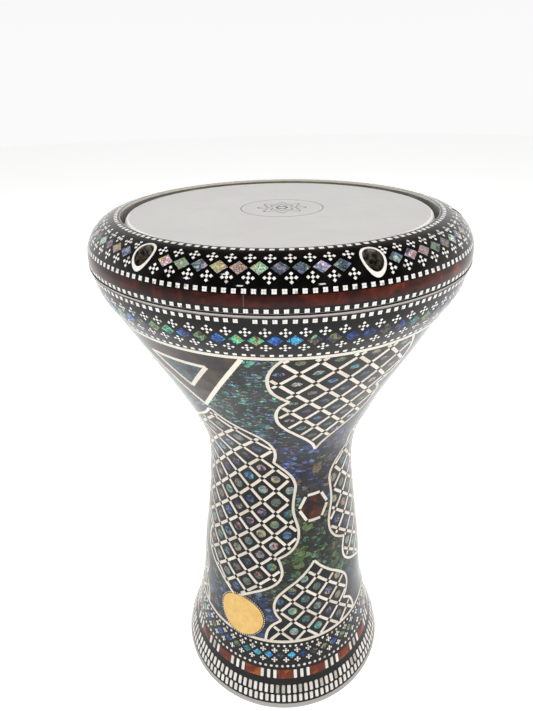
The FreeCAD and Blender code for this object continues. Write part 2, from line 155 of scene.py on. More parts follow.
def on_drum(turn, along, lift):
    """Points in metres: turn in degrees from the player's side, lift in millimetres."""
    turn, along, lift = np.broadcast_arrays(np.radians(turn), along, lift)
    radius = radius_at(along) + lift * np.interp(along, ALONG, OUTWARD)
    height = np.interp(along, ALONG, HEIGHTS) + lift * np.interp(along, ALONG, UPWARD)
    return np.stack([radius * np.sin(turn), -radius * np.cos(turn), height], -1) * MM


def on_panel(axis, flat, lift):
    """Points of a flat drawing, (across, along) in millimetres, wrapped about a panel's axis."""
    across, along = np.asarray(flat, float).T
    return on_drum(axis + np.degrees(across / radius_at(along)), along, lift)


print("profile length", round(ALONG[-1], 1), "mm; waist radius", round(RADII[480], 2), "mm")

# %% [markdown]
# ## Closed pieces let into the drum
# The real maker cuts thousands of small plates and beds them in resin.  One object for each
# would be slow, and a texture would have no edges to catch the light.  So one collector gathers
# the small solids of one kind and makes one mesh of them.  Each solid is closed, and each gets
# three random numbers of its own, kept as a point attribute called "tint", so that the finish
# can make every plate a little different.

# %% The collector
GROUND = -0.15                  # the resin's surface, just inside the drum's outer size
SMOOTH_ANGLE = math.radians(38)


class Inlay:
    """Gathers closed solids and makes one piece of the drum from them."""

    def __init__(self, seed):
        self.random = random.Random(seed)
        self.points, self.faces, self.tints = [], [], []

    def add(self, points, faces):
        start = len(self.points)
        self.points.extend(map(tuple, points))
        self.faces.extend([start + corner for corner in face] for face in faces)
        tint = [self.random.random() for _ in range(3)]
        self.tints.extend([tint] * len(points))

    def make(self, name, body, slot, replaced=()):
        """The mesh object, riding on its body and standing for the nodes it replaces."""
        mesh = bpy.data.meshes.new(name)
        mesh.from_pydata(self.points, [], self.faces)
        tints = mesh.attributes.new("tint", "FLOAT_VECTOR", "POINT")
        tints.data.foreach_set("vector", np.array(self.tints, np.float32).ravel())
        mesh.shade_smooth()
        mesh.set_sharp_from_angle(angle=SMOOTH_ANGLE)
        piece = bpy.data.objects.new(name, mesh)
        bpy.context.scene.collection.objects.link(piece)
        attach(piece, body)
        if replaced:
            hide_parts(*replaced)
        print(f"{name}: {len(self.faces)} faces")
        return piece


# %% Tiles and sticks
def ring_faces(low, high, count):
    """Quads between two rings of corners that start at two numbers."""
    return [[low + k, low + (k + 1) % count, high + (k + 1) % count, high + k]
            for k in range(count)]


def divided(corners, longest):
    """A closed outline with its long sides divided."""
    result = []
    for (x0, y0), (x1, y1) in zip(corners, corners[1:] + corners[:1]):
        parts = max(1, math.ceil(math.hypot(x1 - x0, y1 - y0) / longest))
        result += [(x0 + (x1 - x0) * k / parts, y0 + (y1 - y0) * k / parts)
                   for k in range(parts)]
    return result


def tile(inlay, axis, corners, lift=0.1, crown=0.03, depth=1.0, rings=1):
    """One closed plate: corners go anticlockwise, as (across, along); rings follow the curve."""
    rim = np.array(corners, float)
    middle = rim.mean(0)
    count = len(rim)
    layers = [on_panel(axis, rim, GROUND - depth)]
    for ring in range(rings):
        share = 1 - ring / rings
        layers.append(on_panel(axis, middle + (rim - middle) * share,
                               GROUND + lift + crown * (1 - share * share)))
    layers.append(on_panel(axis, [middle], GROUND + lift + crown))
    faces = [list(range(count))[::-1]]
    for ring in range(rings):
        faces += ring_faces(ring * count, (ring + 1) * count, count)
    last, tip = rings * count, (rings + 1) * count
    faces += [[last + k, last + (k + 1) % count, tip] for k in range(count)]
    inlay.add(np.concatenate(layers), faces)


def stick(inlay, axis, route, width, lift=0.1, crown=0.06, depth=1.0):
    """A closed strip of even width along a route of (across, along) points."""
    route = np.array(route, float)
    way = np.gradient(route, axis=0)
    way /= np.linalg.norm(way, axis=1)[:, None]
    side = np.stack([way[:, 1], -way[:, 0]], -1) * width / 2
    rows = [(-1, -depth), (-1, lift), (-0.55, lift + crown * 0.8), (0.55, lift + crown * 0.8),
            (1, lift), (1, -depth)]
    points = np.stack([on_panel(axis, route + side * across, GROUND + height)
                       for across, height in rows], 1).reshape(-1, 3)
    many, last = len(rows), (len(route) - 1) * len(rows)
    faces = [list(range(many)), [last + k for k in reversed(range(many))]]
    for start in range(0, last, many):
        faces += ring_faces(start, start + many, many)
    inlay.add(points, [face[::-1] for face in faces])


def rectangle(wide, tall, at=(0, 0)):
    x, y = at
    return [(x - wide / 2, y - tall / 2), (x + wide / 2, y - tall / 2),
            (x + wide / 2, y + tall / 2), (x - wide / 2, y + tall / 2)]


def rhombus(wide, tall, at=(0, 0)):
    x, y = at
    return [(x - wide / 2, y), (x, y - tall / 2), (x + wide / 2, y), (x, y + tall / 2)]


def disc(radius, at=(0, 0), corners=16):
    return [(at[0] + radius * math.cos(k * math.tau / corners),
             at[1] + radius * math.sin(k * math.tau / corners)) for k in range(corners)]


print("the collector, tiles and sticks are ready")

# %% Turned skins
SEGMENTS = 288


def turned_skin(inlay, low, high, lift=0.0, depth=1.6, step=1.5):
    """A closed ring of the surface between two alongs, dense enough to look turned."""
    rows = max(3, round((high - low) / step) + 1)
    turns = np.arange(SEGMENTS) * 360 / SEGMENTS
    alongs = np.linspace(low, high, rows)
    grid = [on_drum(turns, along, GROUND + lift) for along in alongs]
    grid += [on_drum(turns, along, GROUND - depth) for along in alongs[::-1]]
    faces = []
    for row in range(2 * rows):
        faces += ring_faces(row * SEGMENTS, (row + 1) % (2 * rows) * SEGMENTS, SEGMENTS)
    inlay.add(np.concatenate(grid), faces)


def turned(inlay, profile, segments=SEGMENTS, centre=(0, 0)):
    """A closed solid turned from (radius, height) points that start and end on the axis."""
    turns = np.arange(segments) * math.tau / segments
    points = [(*centre, profile[0][1])]
    for radius, height in profile[1:-1]:
        points += [(centre[0] + radius * math.sin(a), centre[1] - radius * math.cos(a), height)
                   for a in turns]
    points.append((*centre, profile[-1][1]))
    last = len(points) - 1
    faces = [[0, 1 + (k + 1) % segments, 1 + k] for k in range(segments)]
    for row in range(len(profile) - 3):
        start = 1 + row * segments
        faces += [face[::-1] for face in ring_faces(start, start + segments, segments)]
    start = last - segments
    faces += [[start + k, start + (k + 1) % segments, last] for k in range(segments)]
    inlay.add(np.array(points) * MM, faces)


# %% [markdown]
# ## The resin bands and the neck's ground
# Under the tiles lie broad skins: black resin round the bowl and foot, crushed shell on the
# neck, and narrow pearl rings between them.  They could be cut by booleans from one solid, but
# a lathe is how the real surface is made, so each skin is a closed turned ring.  They stand for
# the plain nodes of the frame, with many more segments, so that the outline looks round.

# %% Skins that ride on the shell
def edge_alongs(node):
    low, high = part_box(node)
    return along_at(low.z / MM), along_at(high.z / MM)


def skin(seed, name, node, slot, lift=0.0):
    inlay = Inlay(seed)
    turned_skin(inlay, *edge_alongs(node), lift=lift)
    return inlay.make(name, "shell", slot, [node])


foot_resin = skin(1, "foot_resin_band", "foot_inlay_band", "black_resin_inlay")
foot_pearl = skin(2, "foot_pearl_band", "foot_pearl_ring", "pearl", lift=0.12)
neck_ground = skin(3, "neck_crushed_shell", "neck_inlay_sleeve", "crushed_shell_inlay")
bowl_pearl = skin(4, "bowl_pearl_band", "bowl_pearl_ring", "pearl", lift=0.12)
bowl_resin = skin(5, "bowl_resin_band", "bowl_inlay_band", "black_resin_inlay")

# %% [markdown]
# ## The ring's shoulder and its bolt wells
# The tension ring wears the same resin over its round shoulder, and a tortoiseshell band
# round its widest part.  Six wells go down through the shoulder to the bolt heads.  Here a
# boolean is the natural tool, because the real wells are drilled after the resin has set.

# %% Shoulder skin with drilled wells
band_low, band_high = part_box("ring_tortoise_band")
BAND_LOW, BAND_HIGH = along_at(band_low.z / MM), along_at(band_high.z / MM)
BOLTS = [(low + high) / 2 / MM for low, high in
         (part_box(f"tuning_bolt_{k}") for k in range(1, 7))]
FERRULE_OUTER, FERRULE_INNER = 7.6, 6.0


def drill(piece, radius):
    """Cut the six wells through a piece, straight down."""
    cutter = Inlay(0)
    for bolt in BOLTS:
        turned(cutter, [(0, TOP + 2), (radius, TOP + 2), (radius, BRIM), (0, BRIM)],
               segments=64, centre=(bolt.x, bolt.y))
    mesh = bpy.data.meshes.new("well_cutter")
    mesh.from_pydata(cutter.points, [], cutter.faces)
    tool = bpy.data.objects.new("well_cutter", mesh)
    bpy.context.scene.collection.objects.link(tool)
    modifier = piece.modifiers.new("wells", "BOOLEAN")
    modifier.object, modifier.solver = tool, "EXACT"
    bpy.context.view_layer.update()
    cut = piece.evaluated_get(bpy.context.evaluated_depsgraph_get())
    piece.data = bpy.data.meshes.new_from_object(cut)
    piece.modifiers.clear()
    bpy.data.objects.remove(tool)


shoulder = Inlay(6)
turned_skin(shoulder, BAND_HIGH, ALONG[-1], step=1.0)
turned_skin(shoulder, along_at(RING_BOTTOM), BAND_LOW, step=1.0)
shoulder_resin = shoulder.make("ring_resin_shoulder", "rim", "black_resin_inlay",
                               ["ring_inlay_shoulder"])
drill(shoulder_resin, FERRULE_OUTER)

tortoise_band = Inlay(7)
turned_skin(tortoise_band, BAND_LOW, BAND_HIGH, lift=0.05, depth=1.5, step=1.0)
tortoise_ring = tortoise_band.make("ring_tortoise_skin", "rim", "tortoise",
                                   ["ring_tortoise_band"])
print("wells drilled at", [f"{bolt.x:.1f},{bolt.y:.1f}" for bolt in BOLTS])

# %% Ferrules cut flush with the shoulder
def shoulder_height(x, y):
    return BRIM + math.sqrt(SHOULDER ** 2 - (math.hypot(x, y) - NOSE_RADIUS) ** 2)


def ferrule(inlay, bolt, segments=64):
    """A short tube whose top follows the shoulder."""
    middle = (FERRULE_OUTER + FERRULE_INNER) / 2
    rows = [(FERRULE_OUTER, -1.6), (FERRULE_OUTER, -0.08), (middle + 0.4, 0.02),
            (middle - 0.4, 0.02), (FERRULE_INNER, -0.08), (FERRULE_INNER, -1.6)]
    points = []
    for radius, lift in rows:
        for k in range(segments):
            angle = k * math.tau / segments
            x, y = bolt.x + radius * math.cos(angle), bolt.y + radius * math.sin(angle)
            points.append((x, y, shoulder_height(x, y) + lift))
    faces = []
    for row in range(len(rows)):
        start, end = row * segments, (row + 1) % len(rows) * segments
        faces += ring_faces(start, end, segments)
    inlay.add(np.array(points) * MM, faces)


ferrules = Inlay(8)
for bolt in BOLTS:
    ferrule(ferrules, bolt)
well_ferrules = ferrules.make("well_ferrule_tubes", "rim", "ferrule", ["bolt_well_ferrules"])

# %% [markdown]
# ## Rows of squares, crosses and shell diamonds
# The bands are rows that repeat round the drum: squares of four small plates, crosses of five
# small diamonds, and diamonds of shell in the notches between the crosses.  An array modifier
# bends badly round a cone, so a loop places each plate by its turn and its along.  Each one is
# shifted by a hair, as hand work is.

# %% Row makers
SQUARES = 160                   # white squares in each long row
CROSS_ARMS = [(0, 0), (-1, 0), (1, 0), (0, -1), (0, 1)]


def clear_of_wells(turn, along, room):
    """True if a plate of that half size stands clear of every ferrule."""
    x, y, z = on_drum(turn, along, 0) / MM
    return all(math.hypot(x - bolt.x, y - bolt.y) > FERRULE_OUTER + room for bolt in BOLTS)


def always(turn, along, room):
    return True


def hair(inlay, size=0.12):
    return inlay.random.uniform(-size, size)


def square_row(inlay, along, wide, tall, phase, missing=()):
    """Squares, each of four small plates with a fine joint between them."""
    for k in range(SQUARES):
        turn = phase + k * 360 / SQUARES
        x, y = hair(inlay), hair(inlay, 0.08)
        if k in missing:
            continue
        for across in (-1, 1):
            for up in (-1, 1):
                at = (x + across * wide / 4, along + y + up * tall / 4)
                tile(inlay, turn, rectangle(wide / 2 - 0.1, tall / 2 - 0.1, at), crown=0.01)


def cross_row(inlay, along, count, phase, small, spread, fits=always):
    """Crosses of five small diamonds; spread is the distance from the middle to an arm."""
    for k in range(count):
        turn = phase + k * 360 / count
        x, y, lean = hair(inlay), hair(inlay), hair(inlay, 0.08)
        for right, up in CROSS_ARMS:
            across = right * spread[0] - up * spread[1] * lean
            climb = up * spread[1] + right * spread[0] * lean
            if fits(turn + math.degrees(across / radius_at(along)), along + climb, small[1] / 2):
                tile(inlay, turn, rhombus(*small, (x + across, along + y + climb)), crown=0.02)


def dash_row(inlay, along, count, phase, wide, tall, rings=1):
    for k in range(count):
        tile(inlay, phase + k * 360 / count, rectangle(wide, tall, (hair(inlay), along)),
             crown=0.01, rings=rings)


def diamond_row(inlay, along, count, phase, wide, tall, fits=always):
    for k in range(count):
        turn = phase + k * 360 / count
        at = (hair(inlay), along + hair(inlay))
        if fits(turn, along, wide / 2 - 0.8):
            corners = divided(rhombus(wide + hair(inlay, 0.3), tall + hair(inlay, 0.3), at), 2.4)
            tile(inlay, turn, corners, lift=0.08, rings=3)


# %% The ring's rows
RING_DIAMONDS, RING_CROSS_TURN = 74, 2.7

ring_squares = Inlay(10)
square_row(ring_squares, BRIM_ALONG + 8.9, 2.75, 2.7, 1.14)
square_row(ring_squares, along_at(423.55), 2.75, 2.5, 1.54)
ring_squares = ring_squares.make("ring_white_squares", "rim", "pearl")

ring_dashes = Inlay(11)
dash_row(ring_dashes, BRIM_ALONG + 37.1, 136, 0.74, 2.9, 2.3, rings=2)
ring_dashes = ring_dashes.make("ring_white_dashes", "rim", "pearl")

ring_crosses = Inlay(12)
cross_row(ring_crosses, BRIM_ALONG + 16.0, RING_DIAMONDS, RING_CROSS_TURN, (2.3, 2.2),
          (2.5, 2.4), clear_of_wells)
cross_row(ring_crosses, BRIM_ALONG + 28.5, RING_DIAMONDS, RING_CROSS_TURN, (2.3, 2.2),
          (2.4, 2.4), clear_of_wells)
ring_crosses = ring_crosses.make("ring_white_crosses", "rim", "pearl")

ring_diamonds = Inlay(13)
diamond_row(ring_diamonds, BRIM_ALONG + 21.85, RING_DIAMONDS,
            RING_CROSS_TURN - 180 / RING_DIAMONDS, 10.3, 8.2, clear_of_wells)
ring_diamonds = ring_diamonds.make("ring_shell_diamonds", "rim", "shell_centre")

# %% The bowl's rows
BOWL_DIAMONDS, BOWL_CROSS_TURN = 77, 1.28
LOST_SQUARE = 156               # the one that lies by the joint has come out

bowl_squares = Inlay(14)
square_row(bowl_squares, along_at(417.1), 2.75, 2.6, 1.21, missing=[LOST_SQUARE])
dash_row(bowl_squares, along_at(391.3), 148, 0.3, 2.5, 1.9)
bowl_squares = bowl_squares.make("bowl_white_squares", "shell", "pearl")

bowl_crosses = Inlay(15)
cross_row(bowl_crosses, along_at(409.8), BOWL_DIAMONDS, BOWL_CROSS_TURN, (2.2, 2.0),
          (2.5, 2.25))
cross_row(bowl_crosses, along_at(398.2), BOWL_DIAMONDS, BOWL_CROSS_TURN, (2.2, 1.9),
          (2.5, 2.2))
bowl_crosses = bowl_crosses.make("bowl_white_crosses", "shell", "pearl")

bowl_diamonds = Inlay(16)
diamond_row(bowl_diamonds, along_at(404.0), BOWL_DIAMONDS,
            BOWL_CROSS_TURN + 180 / BOWL_DIAMONDS, 9.6, 8.6)
bowl_diamonds = bowl_diamonds.make("bowl_shell_diamonds", "shell", "shell_centre")

# %% The foot's rows
FOOT_CROSSES, FOOT_CROSS_TURN = 50, 1.9
DOT_ROWS = [(98, 0.91, 65.3, 1.2), (106, 2.95, 42.7, 1.35)]     # count, turn, height, radius

foot_dots = Inlay(17)
for count, phase, height, radius in DOT_ROWS:
    for k in range(count):
        tile(foot_dots, phase + k * 360 / count,
             disc(radius, (hair(foot_dots), along_at(height) + hair(foot_dots)), 14),
             lift=0.15, crown=0.55, rings=3)
foot_dots = foot_dots.make("foot_white_dots", "shell", "pearl")

foot_crosses = Inlay(18)
for height in (60.3, 50.0):
    for k in range(FOOT_CROSSES):
        x, y = hair(foot_crosses), along_at(height) + hair(foot_crosses)
        for right, up in CROSS_ARMS:
            tile(foot_crosses, FOOT_CROSS_TURN + k * 360 / FOOT_CROSSES,
                 disc(0.95, (x + right * 1.95, y + up * 1.9), 10), lift=0.15, crown=0.4, rings=2)
foot_crosses = foot_crosses.make("foot_white_crosses", "shell", "pearl")

foot_diamonds = Inlay(19)
diamond_row(foot_diamonds, along_at(55.1), FOOT_CROSSES,
            FOOT_CROSS_TURN + 180 / FOOT_CROSSES, 8.6, 7.4)
foot_diamonds = foot_diamonds.make("foot_shell_diamonds", "shell", "shell_centre")

# %% The foot's blocks and sticks
BLOCKS, BLOCK_PHASE, BLOCK_WIDTH = 18, 1.4, 9.8
BLOCK_LOW, BLOCK_HIGH = along_at(29.4), along_at(38.7)
STICK_TURNS = [5.95, 9.9, 13.75]        # degrees from a block's middle to its three sticks
STICK_ROWS = [(112, 0.03, 15.4, 23.2), (116, 0.25, 6.6, 13.8)]   # count, turn, low, high


def rounded(wide, tall, at, corner=0.9):
    """An upright stick's outline, with rounded ends."""
    x, y = wide / 2 - corner, tall / 2 - corner
    centres = [(x, y), (-x, y), (-x, -y), (x, -y)]
    points = []
    for quarter, (across, up) in enumerate(centres):
        for k in range(4):
            angle = (quarter + k / 3) * math.pi / 2
            points.append((at[0] + across + corner * math.cos(angle),
                           at[1] + up + corner * math.sin(angle)))
    return divided(points, 2.4)


foot_blocks, block_sticks = Inlay(20), Inlay(21)
block_middle = (BLOCK_LOW + BLOCK_HIGH) / 2
block_wide = math.radians(BLOCK_WIDTH) * radius_at(block_middle)
for k in range(BLOCKS):
    turn = BLOCK_PHASE + k * 360 / BLOCKS
    corners = divided(rectangle(block_wide - 0.3, BLOCK_HIGH - BLOCK_LOW - 0.4,
                                (0, block_middle)), 2.5)
    tile(foot_blocks, turn, corners, lift=0.15, crown=0.4, depth=1.4, rings=4)
    for offset in STICK_TURNS:
        tall = BLOCK_HIGH - BLOCK_LOW - 0.6
        corners = rounded(3.0, tall, (hair(block_sticks), block_middle), 0.7)
        tile(block_sticks, turn + offset, corners, lift=0.15, crown=0.45, rings=4)
foot_blocks = foot_blocks.make("foot_tortoise_plates", "shell", "tortoise",
                               ["foot_tortoise_blocks"])
block_sticks = block_sticks.make("foot_block_sticks", "shell", "pearl")

foot_sticks = Inlay(22)
for count, phase, low, high in STICK_ROWS:
    low_along, high_along = along_at(low), along_at(high)
    for k in range(count):
        at = (hair(foot_sticks), (low_along + high_along) / 2)
        tile(foot_sticks, phase + k * 360 / count,
             rounded(3.1, high_along - low_along, at), lift=0.15, crown=0.5, rings=4)
foot_sticks = foot_sticks.make("foot_stick_rows", "shell", "pearl")

# %% [markdown]
# ## Cartouches on the neck
# Each cartouche is a lobed field framed by a bent strip of pearl.  Its outline is a few chosen
# points for each lobe, given on one side of the axis only, because the other side mirrors it.
# A curve passes smoothly through a lobe's points and stops at the cusps between lobes.  One
# bezier with sharp handles would also do, but this form shows the lobes one by one.

# %% Outlines of the three kinds of cartouche
STRIP, STICK = 2.3, 2.65        # widths of the frames and of the lattice sticks

FULL_LOBES = [
    [(0, 323.5), (4.9, 315.3), (12.7, 306.9), (19.8, 300.5), (26.1, 291.7), (29.4, 283),
     (30.1, 275.5), (28.8, 265.8)],
    [(28.8, 265.8), (33.9, 259.4), (38.8, 253), (42.4, 246), (44.1, 238), (43.3, 230),
     (42.4, 222), (42.2, 214), (43.4, 206), (45.2, 198), (45.9, 189), (44.5, 180.4),
     (40.3, 172.5), (31, 164.4)],
    [(31, 164.4), (33.2, 155.5), (33.6, 148.2), (31.8, 141), (27.5, 134.8), (21.2, 129.2),
     (14.1, 123.7), (7.5, 117.5), (0, 110)],
]
UPPER_LOBES = [
    [(21, 386.9), (23.7, 379.5), (25.4, 371), (25.6, 362.6), (24.2, 354), (21.4, 348.5),
     (18.4, 344.2)],
    [(18.4, 344.2), (21.4, 339.4), (23.1, 333), (23.5, 326), (22.8, 319), (19.6, 311),
     (13.9, 302.6), (7, 293.2), (2.2, 285), (0, 278.6)],
]
LOWER_LOBES = [
    [(0, 157.5), (3.7, 151.3), (11.5, 141), (20.7, 130.8), (27, 120.5), (28.6, 111),
     (27.3, 102.4), (24, 95.2)],
    [(24, 95.2), (30.6, 87.4), (33.4, 78.8), (34.1, 71.5)],
]


def flat_point(turn, height):
    """A place given by turn and height, as (across, along) on a panel."""
    along = along_at(height)
    return math.radians(turn) * radius_at(along), along


def lobe_curve(points, spacing=1.6):
    """A smooth route through one lobe's points."""
    knots = np.array([flat_point(*point) for point in points])
    reach = np.concatenate([[0], np.cumsum(np.linalg.norm(np.diff(knots, axis=0), axis=1))])
    where = np.linspace(0, reach[-1], max(4, round(reach[-1] / spacing)))
    return np.stack([smooth_curve(reach, knots[:, axis], where) for axis in (0, 1)], -1)


MIRROR = np.array([-1, 1])


class Cartouche:
    """One kind of cartouche: its lobes, its panels' axes, and its lattice."""

    def __init__(self, lobes, first_axis, node, columns, rows, shards=False):
        self.lobes = [lobe_curve(lobe) for lobe in lobes]
        self.axes = [first_axis + THIRD * k + LAID_BY_EYE[k] for k in range(COPIES)]
        self.node_across, self.node_along = node[0], along_at(node[1])
        self.columns, self.rows, self.shards = columns, rows, shards
        side = np.concatenate(self.lobes)
        self.side = side if side[0][1] < side[-1][1] else side[::-1]

    def node(self, column, row):
        """A place on the lattice: rows may differ above and below, columns with the height."""
        along = self.node_along + row * self.rows[row > 0]
        heights, widths = zip(*self.columns)
        wide = np.interp(along, along_at(np.array(heights)), widths)
        return np.array([self.node_across + column * wide, along])

    def node_range(self):
        low, high = self.side[0][1], self.side[-1][1]
        first = math.floor((low - self.node_along) / min(self.rows)) - 1
        last = math.ceil((high - self.node_along) / min(self.rows)) + 1
        return [(column, row) for row in range(first, last + 1) for column in range(-6, 7)]

    def half_width(self, along):
        return np.interp(along, self.side[:, 1], self.side[:, 0])

    def depth_inside(self, point):
        """Distance from a point to the outline's sides, or less than 0 outside."""
        point = np.array(point, float)
        if not self.side[0][1] < point[1] < self.side[-1][1]:
            return -1.0
        folded = np.array([abs(point[0]), point[1]])
        distance = np.min(np.linalg.norm(self.side - folded, axis=1))
        return distance if folded[0] < self.half_width(point[1]) else -distance


full = Cartouche(FULL_LOBES, -33.7, (0, 222.2), [(110, 11.4), (250, 11.2), (305, 13)],
                 (11.2, 12.1))
upper = Cartouche(UPPER_LOBES, 21.6, (2.6, 363.3), [(300, 9.9), (343, 11.1), (386, 12.3)],
                  (11.9, 11.4), shards=True)
lower = Cartouche(LOWER_LOBES, 23.0, (1.6, 117), [(80, 12), (157, 11.6)], (11.9, 11.6))
CARTOUCHES = [full, upper, lower]
print("full cartouche width", round(2 * full.side[:, 0].max(), 1), "mm")

# %% [markdown]
# ## Beds, strips, lattice and dots
# Inside each frame lies a black bed, and on it a lattice of short sticks with a shell dot in
# each cell.  The bed is a sheet wrapped on the neck, built row by row between the two sides.
# The sticks run from node to node of a slanting grid, and stop short of each node, which leaves
# the small black crossings.  Each stick is cut where it meets the frame, as the maker would.

# %% Beds
def bed(inlay, axis, rows, columns=26, lift=0.05, depth=0.8):
    """A closed sheet between mirrored sides; rows are (half width, along)."""
    shares = np.linspace(-1, 1, columns)
    flat = np.array([(share * half, along) for half, along in rows for share in shares])
    count, layer = len(rows), len(flat)
    points = np.concatenate([on_panel(axis, flat, GROUND + lift),
                             on_panel(axis, flat, GROUND - depth)])
    faces = []
    for row in range(count - 1):
        for column in range(columns - 1):
            a = row * columns + column
            top = [a, a + 1, a + columns + 1, a + columns]
            faces += [top, [layer + corner for corner in reversed(top)]]
    edge = list(range(columns))
    edge += [row * columns + columns - 1 for row in range(1, count)]
    edge += [(count - 1) * columns + column for column in reversed(range(columns - 1))]
    edge += [row * columns for row in reversed(range(1, count - 1))]
    for a, b in zip(edge, edge[1:] + edge[:1]):
        faces.append([b, a, layer + a, layer + b])
    inlay.add(points, faces)


def bed_rows(cartouche, spacing=2.0):
    low, high = cartouche.side[0][1], cartouche.side[-1][1]
    alongs = np.linspace(low + 0.4, high - 0.4, round((high - low) / spacing))
    return [(max(0.4, cartouche.half_width(along)), along) for along in alongs]


beds = Inlay(30)
for cartouche in CARTOUCHES:
    for axis in cartouche.axes:
        bed(beds, axis, bed_rows(cartouche))
beds = beds.make("cartouche_black_beds", "shell", "black_resin_inlay")

# %% Pearl frames
frames = Inlay(31)
for cartouche in CARTOUCHES:
    for axis in cartouche.axes:
        for lobe in cartouche.lobes:
            stick(frames, axis, lobe, STRIP, lift=0.2, crown=0.12)
            stick(frames, axis, lobe * MIRROR, STRIP, lift=0.2, crown=0.12)
frames = frames.make("cartouche_pearl_frames", "shell", "pearl")

# %% Lattice sticks
NODE_GAP = 1.7
STICK_INSET = 2.0               # how near a stick's middle comes to a frame's middle


def inside_run(cartouche, start, end, spacing=0.45):
    """The part of a straight line that lies inside the frame, as two ends, or None."""
    start, end = np.array(start), np.array(end)
    count = max(2, round(np.linalg.norm(end - start) / spacing))
    spots = [start + (end - start) * k / count for k in range(count + 1)]
    inside = [spot for spot in spots if cartouche.depth_inside(spot) > STICK_INSET]
    return (inside[0], inside[-1]) if len(inside) * spacing > 1.6 else None


lattice = Inlay(32)
for cartouche in CARTOUCHES:
    runs = []
    for column, row in cartouche.node_range():
        if (column + row) % 2:
            continue
        start = cartouche.node(column, row)
        for way in (-1, 1):
            end = cartouche.node(column + way, row + 1)
            trim = (end - start) * NODE_GAP / np.linalg.norm(end - start)
            run = inside_run(cartouche, start + trim, end - trim)
            if run:
                runs.append(run)
    for axis in cartouche.axes:
        for start, end in runs:
            parts = max(2, round(np.linalg.norm(end - start) / 2.5))
            sway = np.array([hair(lattice, 0.15), hair(lattice, 0.15)])
            route = [start + sway + (end - start) * k / parts for k in range(parts + 1)]
            stick(lattice, axis, route, STICK, lift=0.2, crown=0.14)
    print(len(runs), "sticks in one cartouche")
lattice = lattice.make("cartouche_lattice_sticks", "shell", "pearl")

# %% Shell dots in the cells
DOT_RADIUS = 4.0
DOT_INSET = 2.9


def shard(inlay, at):
    """A rough flake of shell, wider than it is high."""
    corners = []
    for k in range(7):
        angle = (k + inlay.random.uniform(-0.3, 0.3)) * math.tau / 7
        size = inlay.random.uniform(0.7, 1.0)
        corners.append((at[0] + 4.6 * size * math.cos(angle),
                        at[1] + 2.9 * size * math.sin(angle)))
    return corners


dots = Inlay(33)
for cartouche in CARTOUCHES:
    for axis in cartouche.axes:
        for column, row in cartouche.node_range():
            at = cartouche.node(column, row)
            if (column + row) % 2 == 0 or cartouche.depth_inside(at) < DOT_INSET:
                continue
            at += [hair(dots, 0.3), hair(dots, 0.3)]
            if cartouche.shards:
                tile(dots, axis, shard(dots, at), lift=0.1, rings=3)
            else:
                tile(dots, axis, disc(DOT_RADIUS + hair(dots, 0.25), at, 22), lift=0.1, rings=3)
dots = dots.make("cartouche_shell_dots", "shell", "shell_centre")

# %% [markdown]
# ## Gables, hexagons and the gilt disc
# Under the bowl's band hang three triangular gables of tortoiseshell with a shell centre.  They
# are straight-sided when seen square on, so their sides are drawn flat and wrapped afterwards.
# Between the full cartouches sit brown hexagons with six sticks round each, and low on the neck
# there is one plain gilt disc with a roped border.

# %% Gables
GABLE_AXES = [-34.3 + THIRD * k for k in range(COPIES)]
GABLE_TIP, GABLE_TOP = 326.0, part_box("gable_tortoise_panels")[1].z / MM
GABLE_HALF = 52.0
CENTRE_TIP, CENTRE_TOP, CENTRE_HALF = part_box("gable_shell_centres")[0].z / MM, 374.4, 23.6


def seen_flat(x, height):
    """A place seen square on, x millimetres from the axis, as (across, along)."""
    along = along_at(height)
    radius = radius_at(along)
    return radius * math.asin(x / radius), along


def seen_line(start, end, spacing=2.5):
    parts = max(2, round(math.dist(start, end) / spacing))
    return [seen_flat(start[0] + (end[0] - start[0]) * k / parts,
                      start[1] + (end[1] - start[1]) * k / parts) for k in range(parts + 1)]


def gable_rows(half, tip, top, inset=0.6):
    heights = np.linspace(tip + inset, top - 0.1, round((top - tip) / 1.5))
    return [seen_flat(half * (height - tip) / (top - tip), height) for height in heights]


gables, gable_centres, gable_strips = Inlay(40), Inlay(41), Inlay(42)
for axis in GABLE_AXES:
    bed(gables, axis, gable_rows(GABLE_HALF, GABLE_TIP, GABLE_TOP), lift=0.08, depth=1.4)
    bed(gable_centres, axis, gable_rows(CENTRE_HALF, CENTRE_TIP, CENTRE_TOP), lift=0.12,
        depth=1.4)
    for side in (-1, 1):
        stick(gable_strips, axis, seen_line((0, GABLE_TIP + 1.5),
              (side * (GABLE_HALF - 1.5), GABLE_TOP)), 3.0, lift=0.2, crown=0.12)
        stick(gable_strips, axis, seen_line((0, CENTRE_TIP),
              (side * CENTRE_HALF, CENTRE_TOP)), 3.0, lift=0.2, crown=0.12)
    stick(gable_strips, axis, seen_line((-CENTRE_HALF, CENTRE_TOP),
          (CENTRE_HALF, CENTRE_TOP)), 3.0, lift=0.19, crown=0.12)
gables = gables.make("gable_tortoise_fields", "shell", "tortoise", ["gable_tortoise_panels"])
gable_centres = gable_centres.make("gable_shell_fields", "shell", "shell_centre",
                                   ["gable_shell_centres"])
gable_strips = gable_strips.make("gable_pearl_strips", "shell", "pearl")

# %% Hexagons
HEXAGON_AXES = [24.6 + THIRD * k for k in range(COPIES)]
hexagon_low, hexagon_high = (corner.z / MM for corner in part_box("neck_hexagon_plaques"))
HEXAGON_MIDDLE = np.array([0, along_at((hexagon_low + hexagon_high) / 2)])
HEXAGON_RADIUS = 15.0
HEXAGON_TALL = np.array([1, 1.12])      # a little taller than a regular hexagon


def hexagon(radius):
    corners = [np.array([math.cos(k * math.tau / 6), math.sin(k * math.tau / 6)])
               for k in range(6)]
    return [tuple(HEXAGON_MIDDLE + radius * corner * HEXAGON_TALL) for corner in corners]


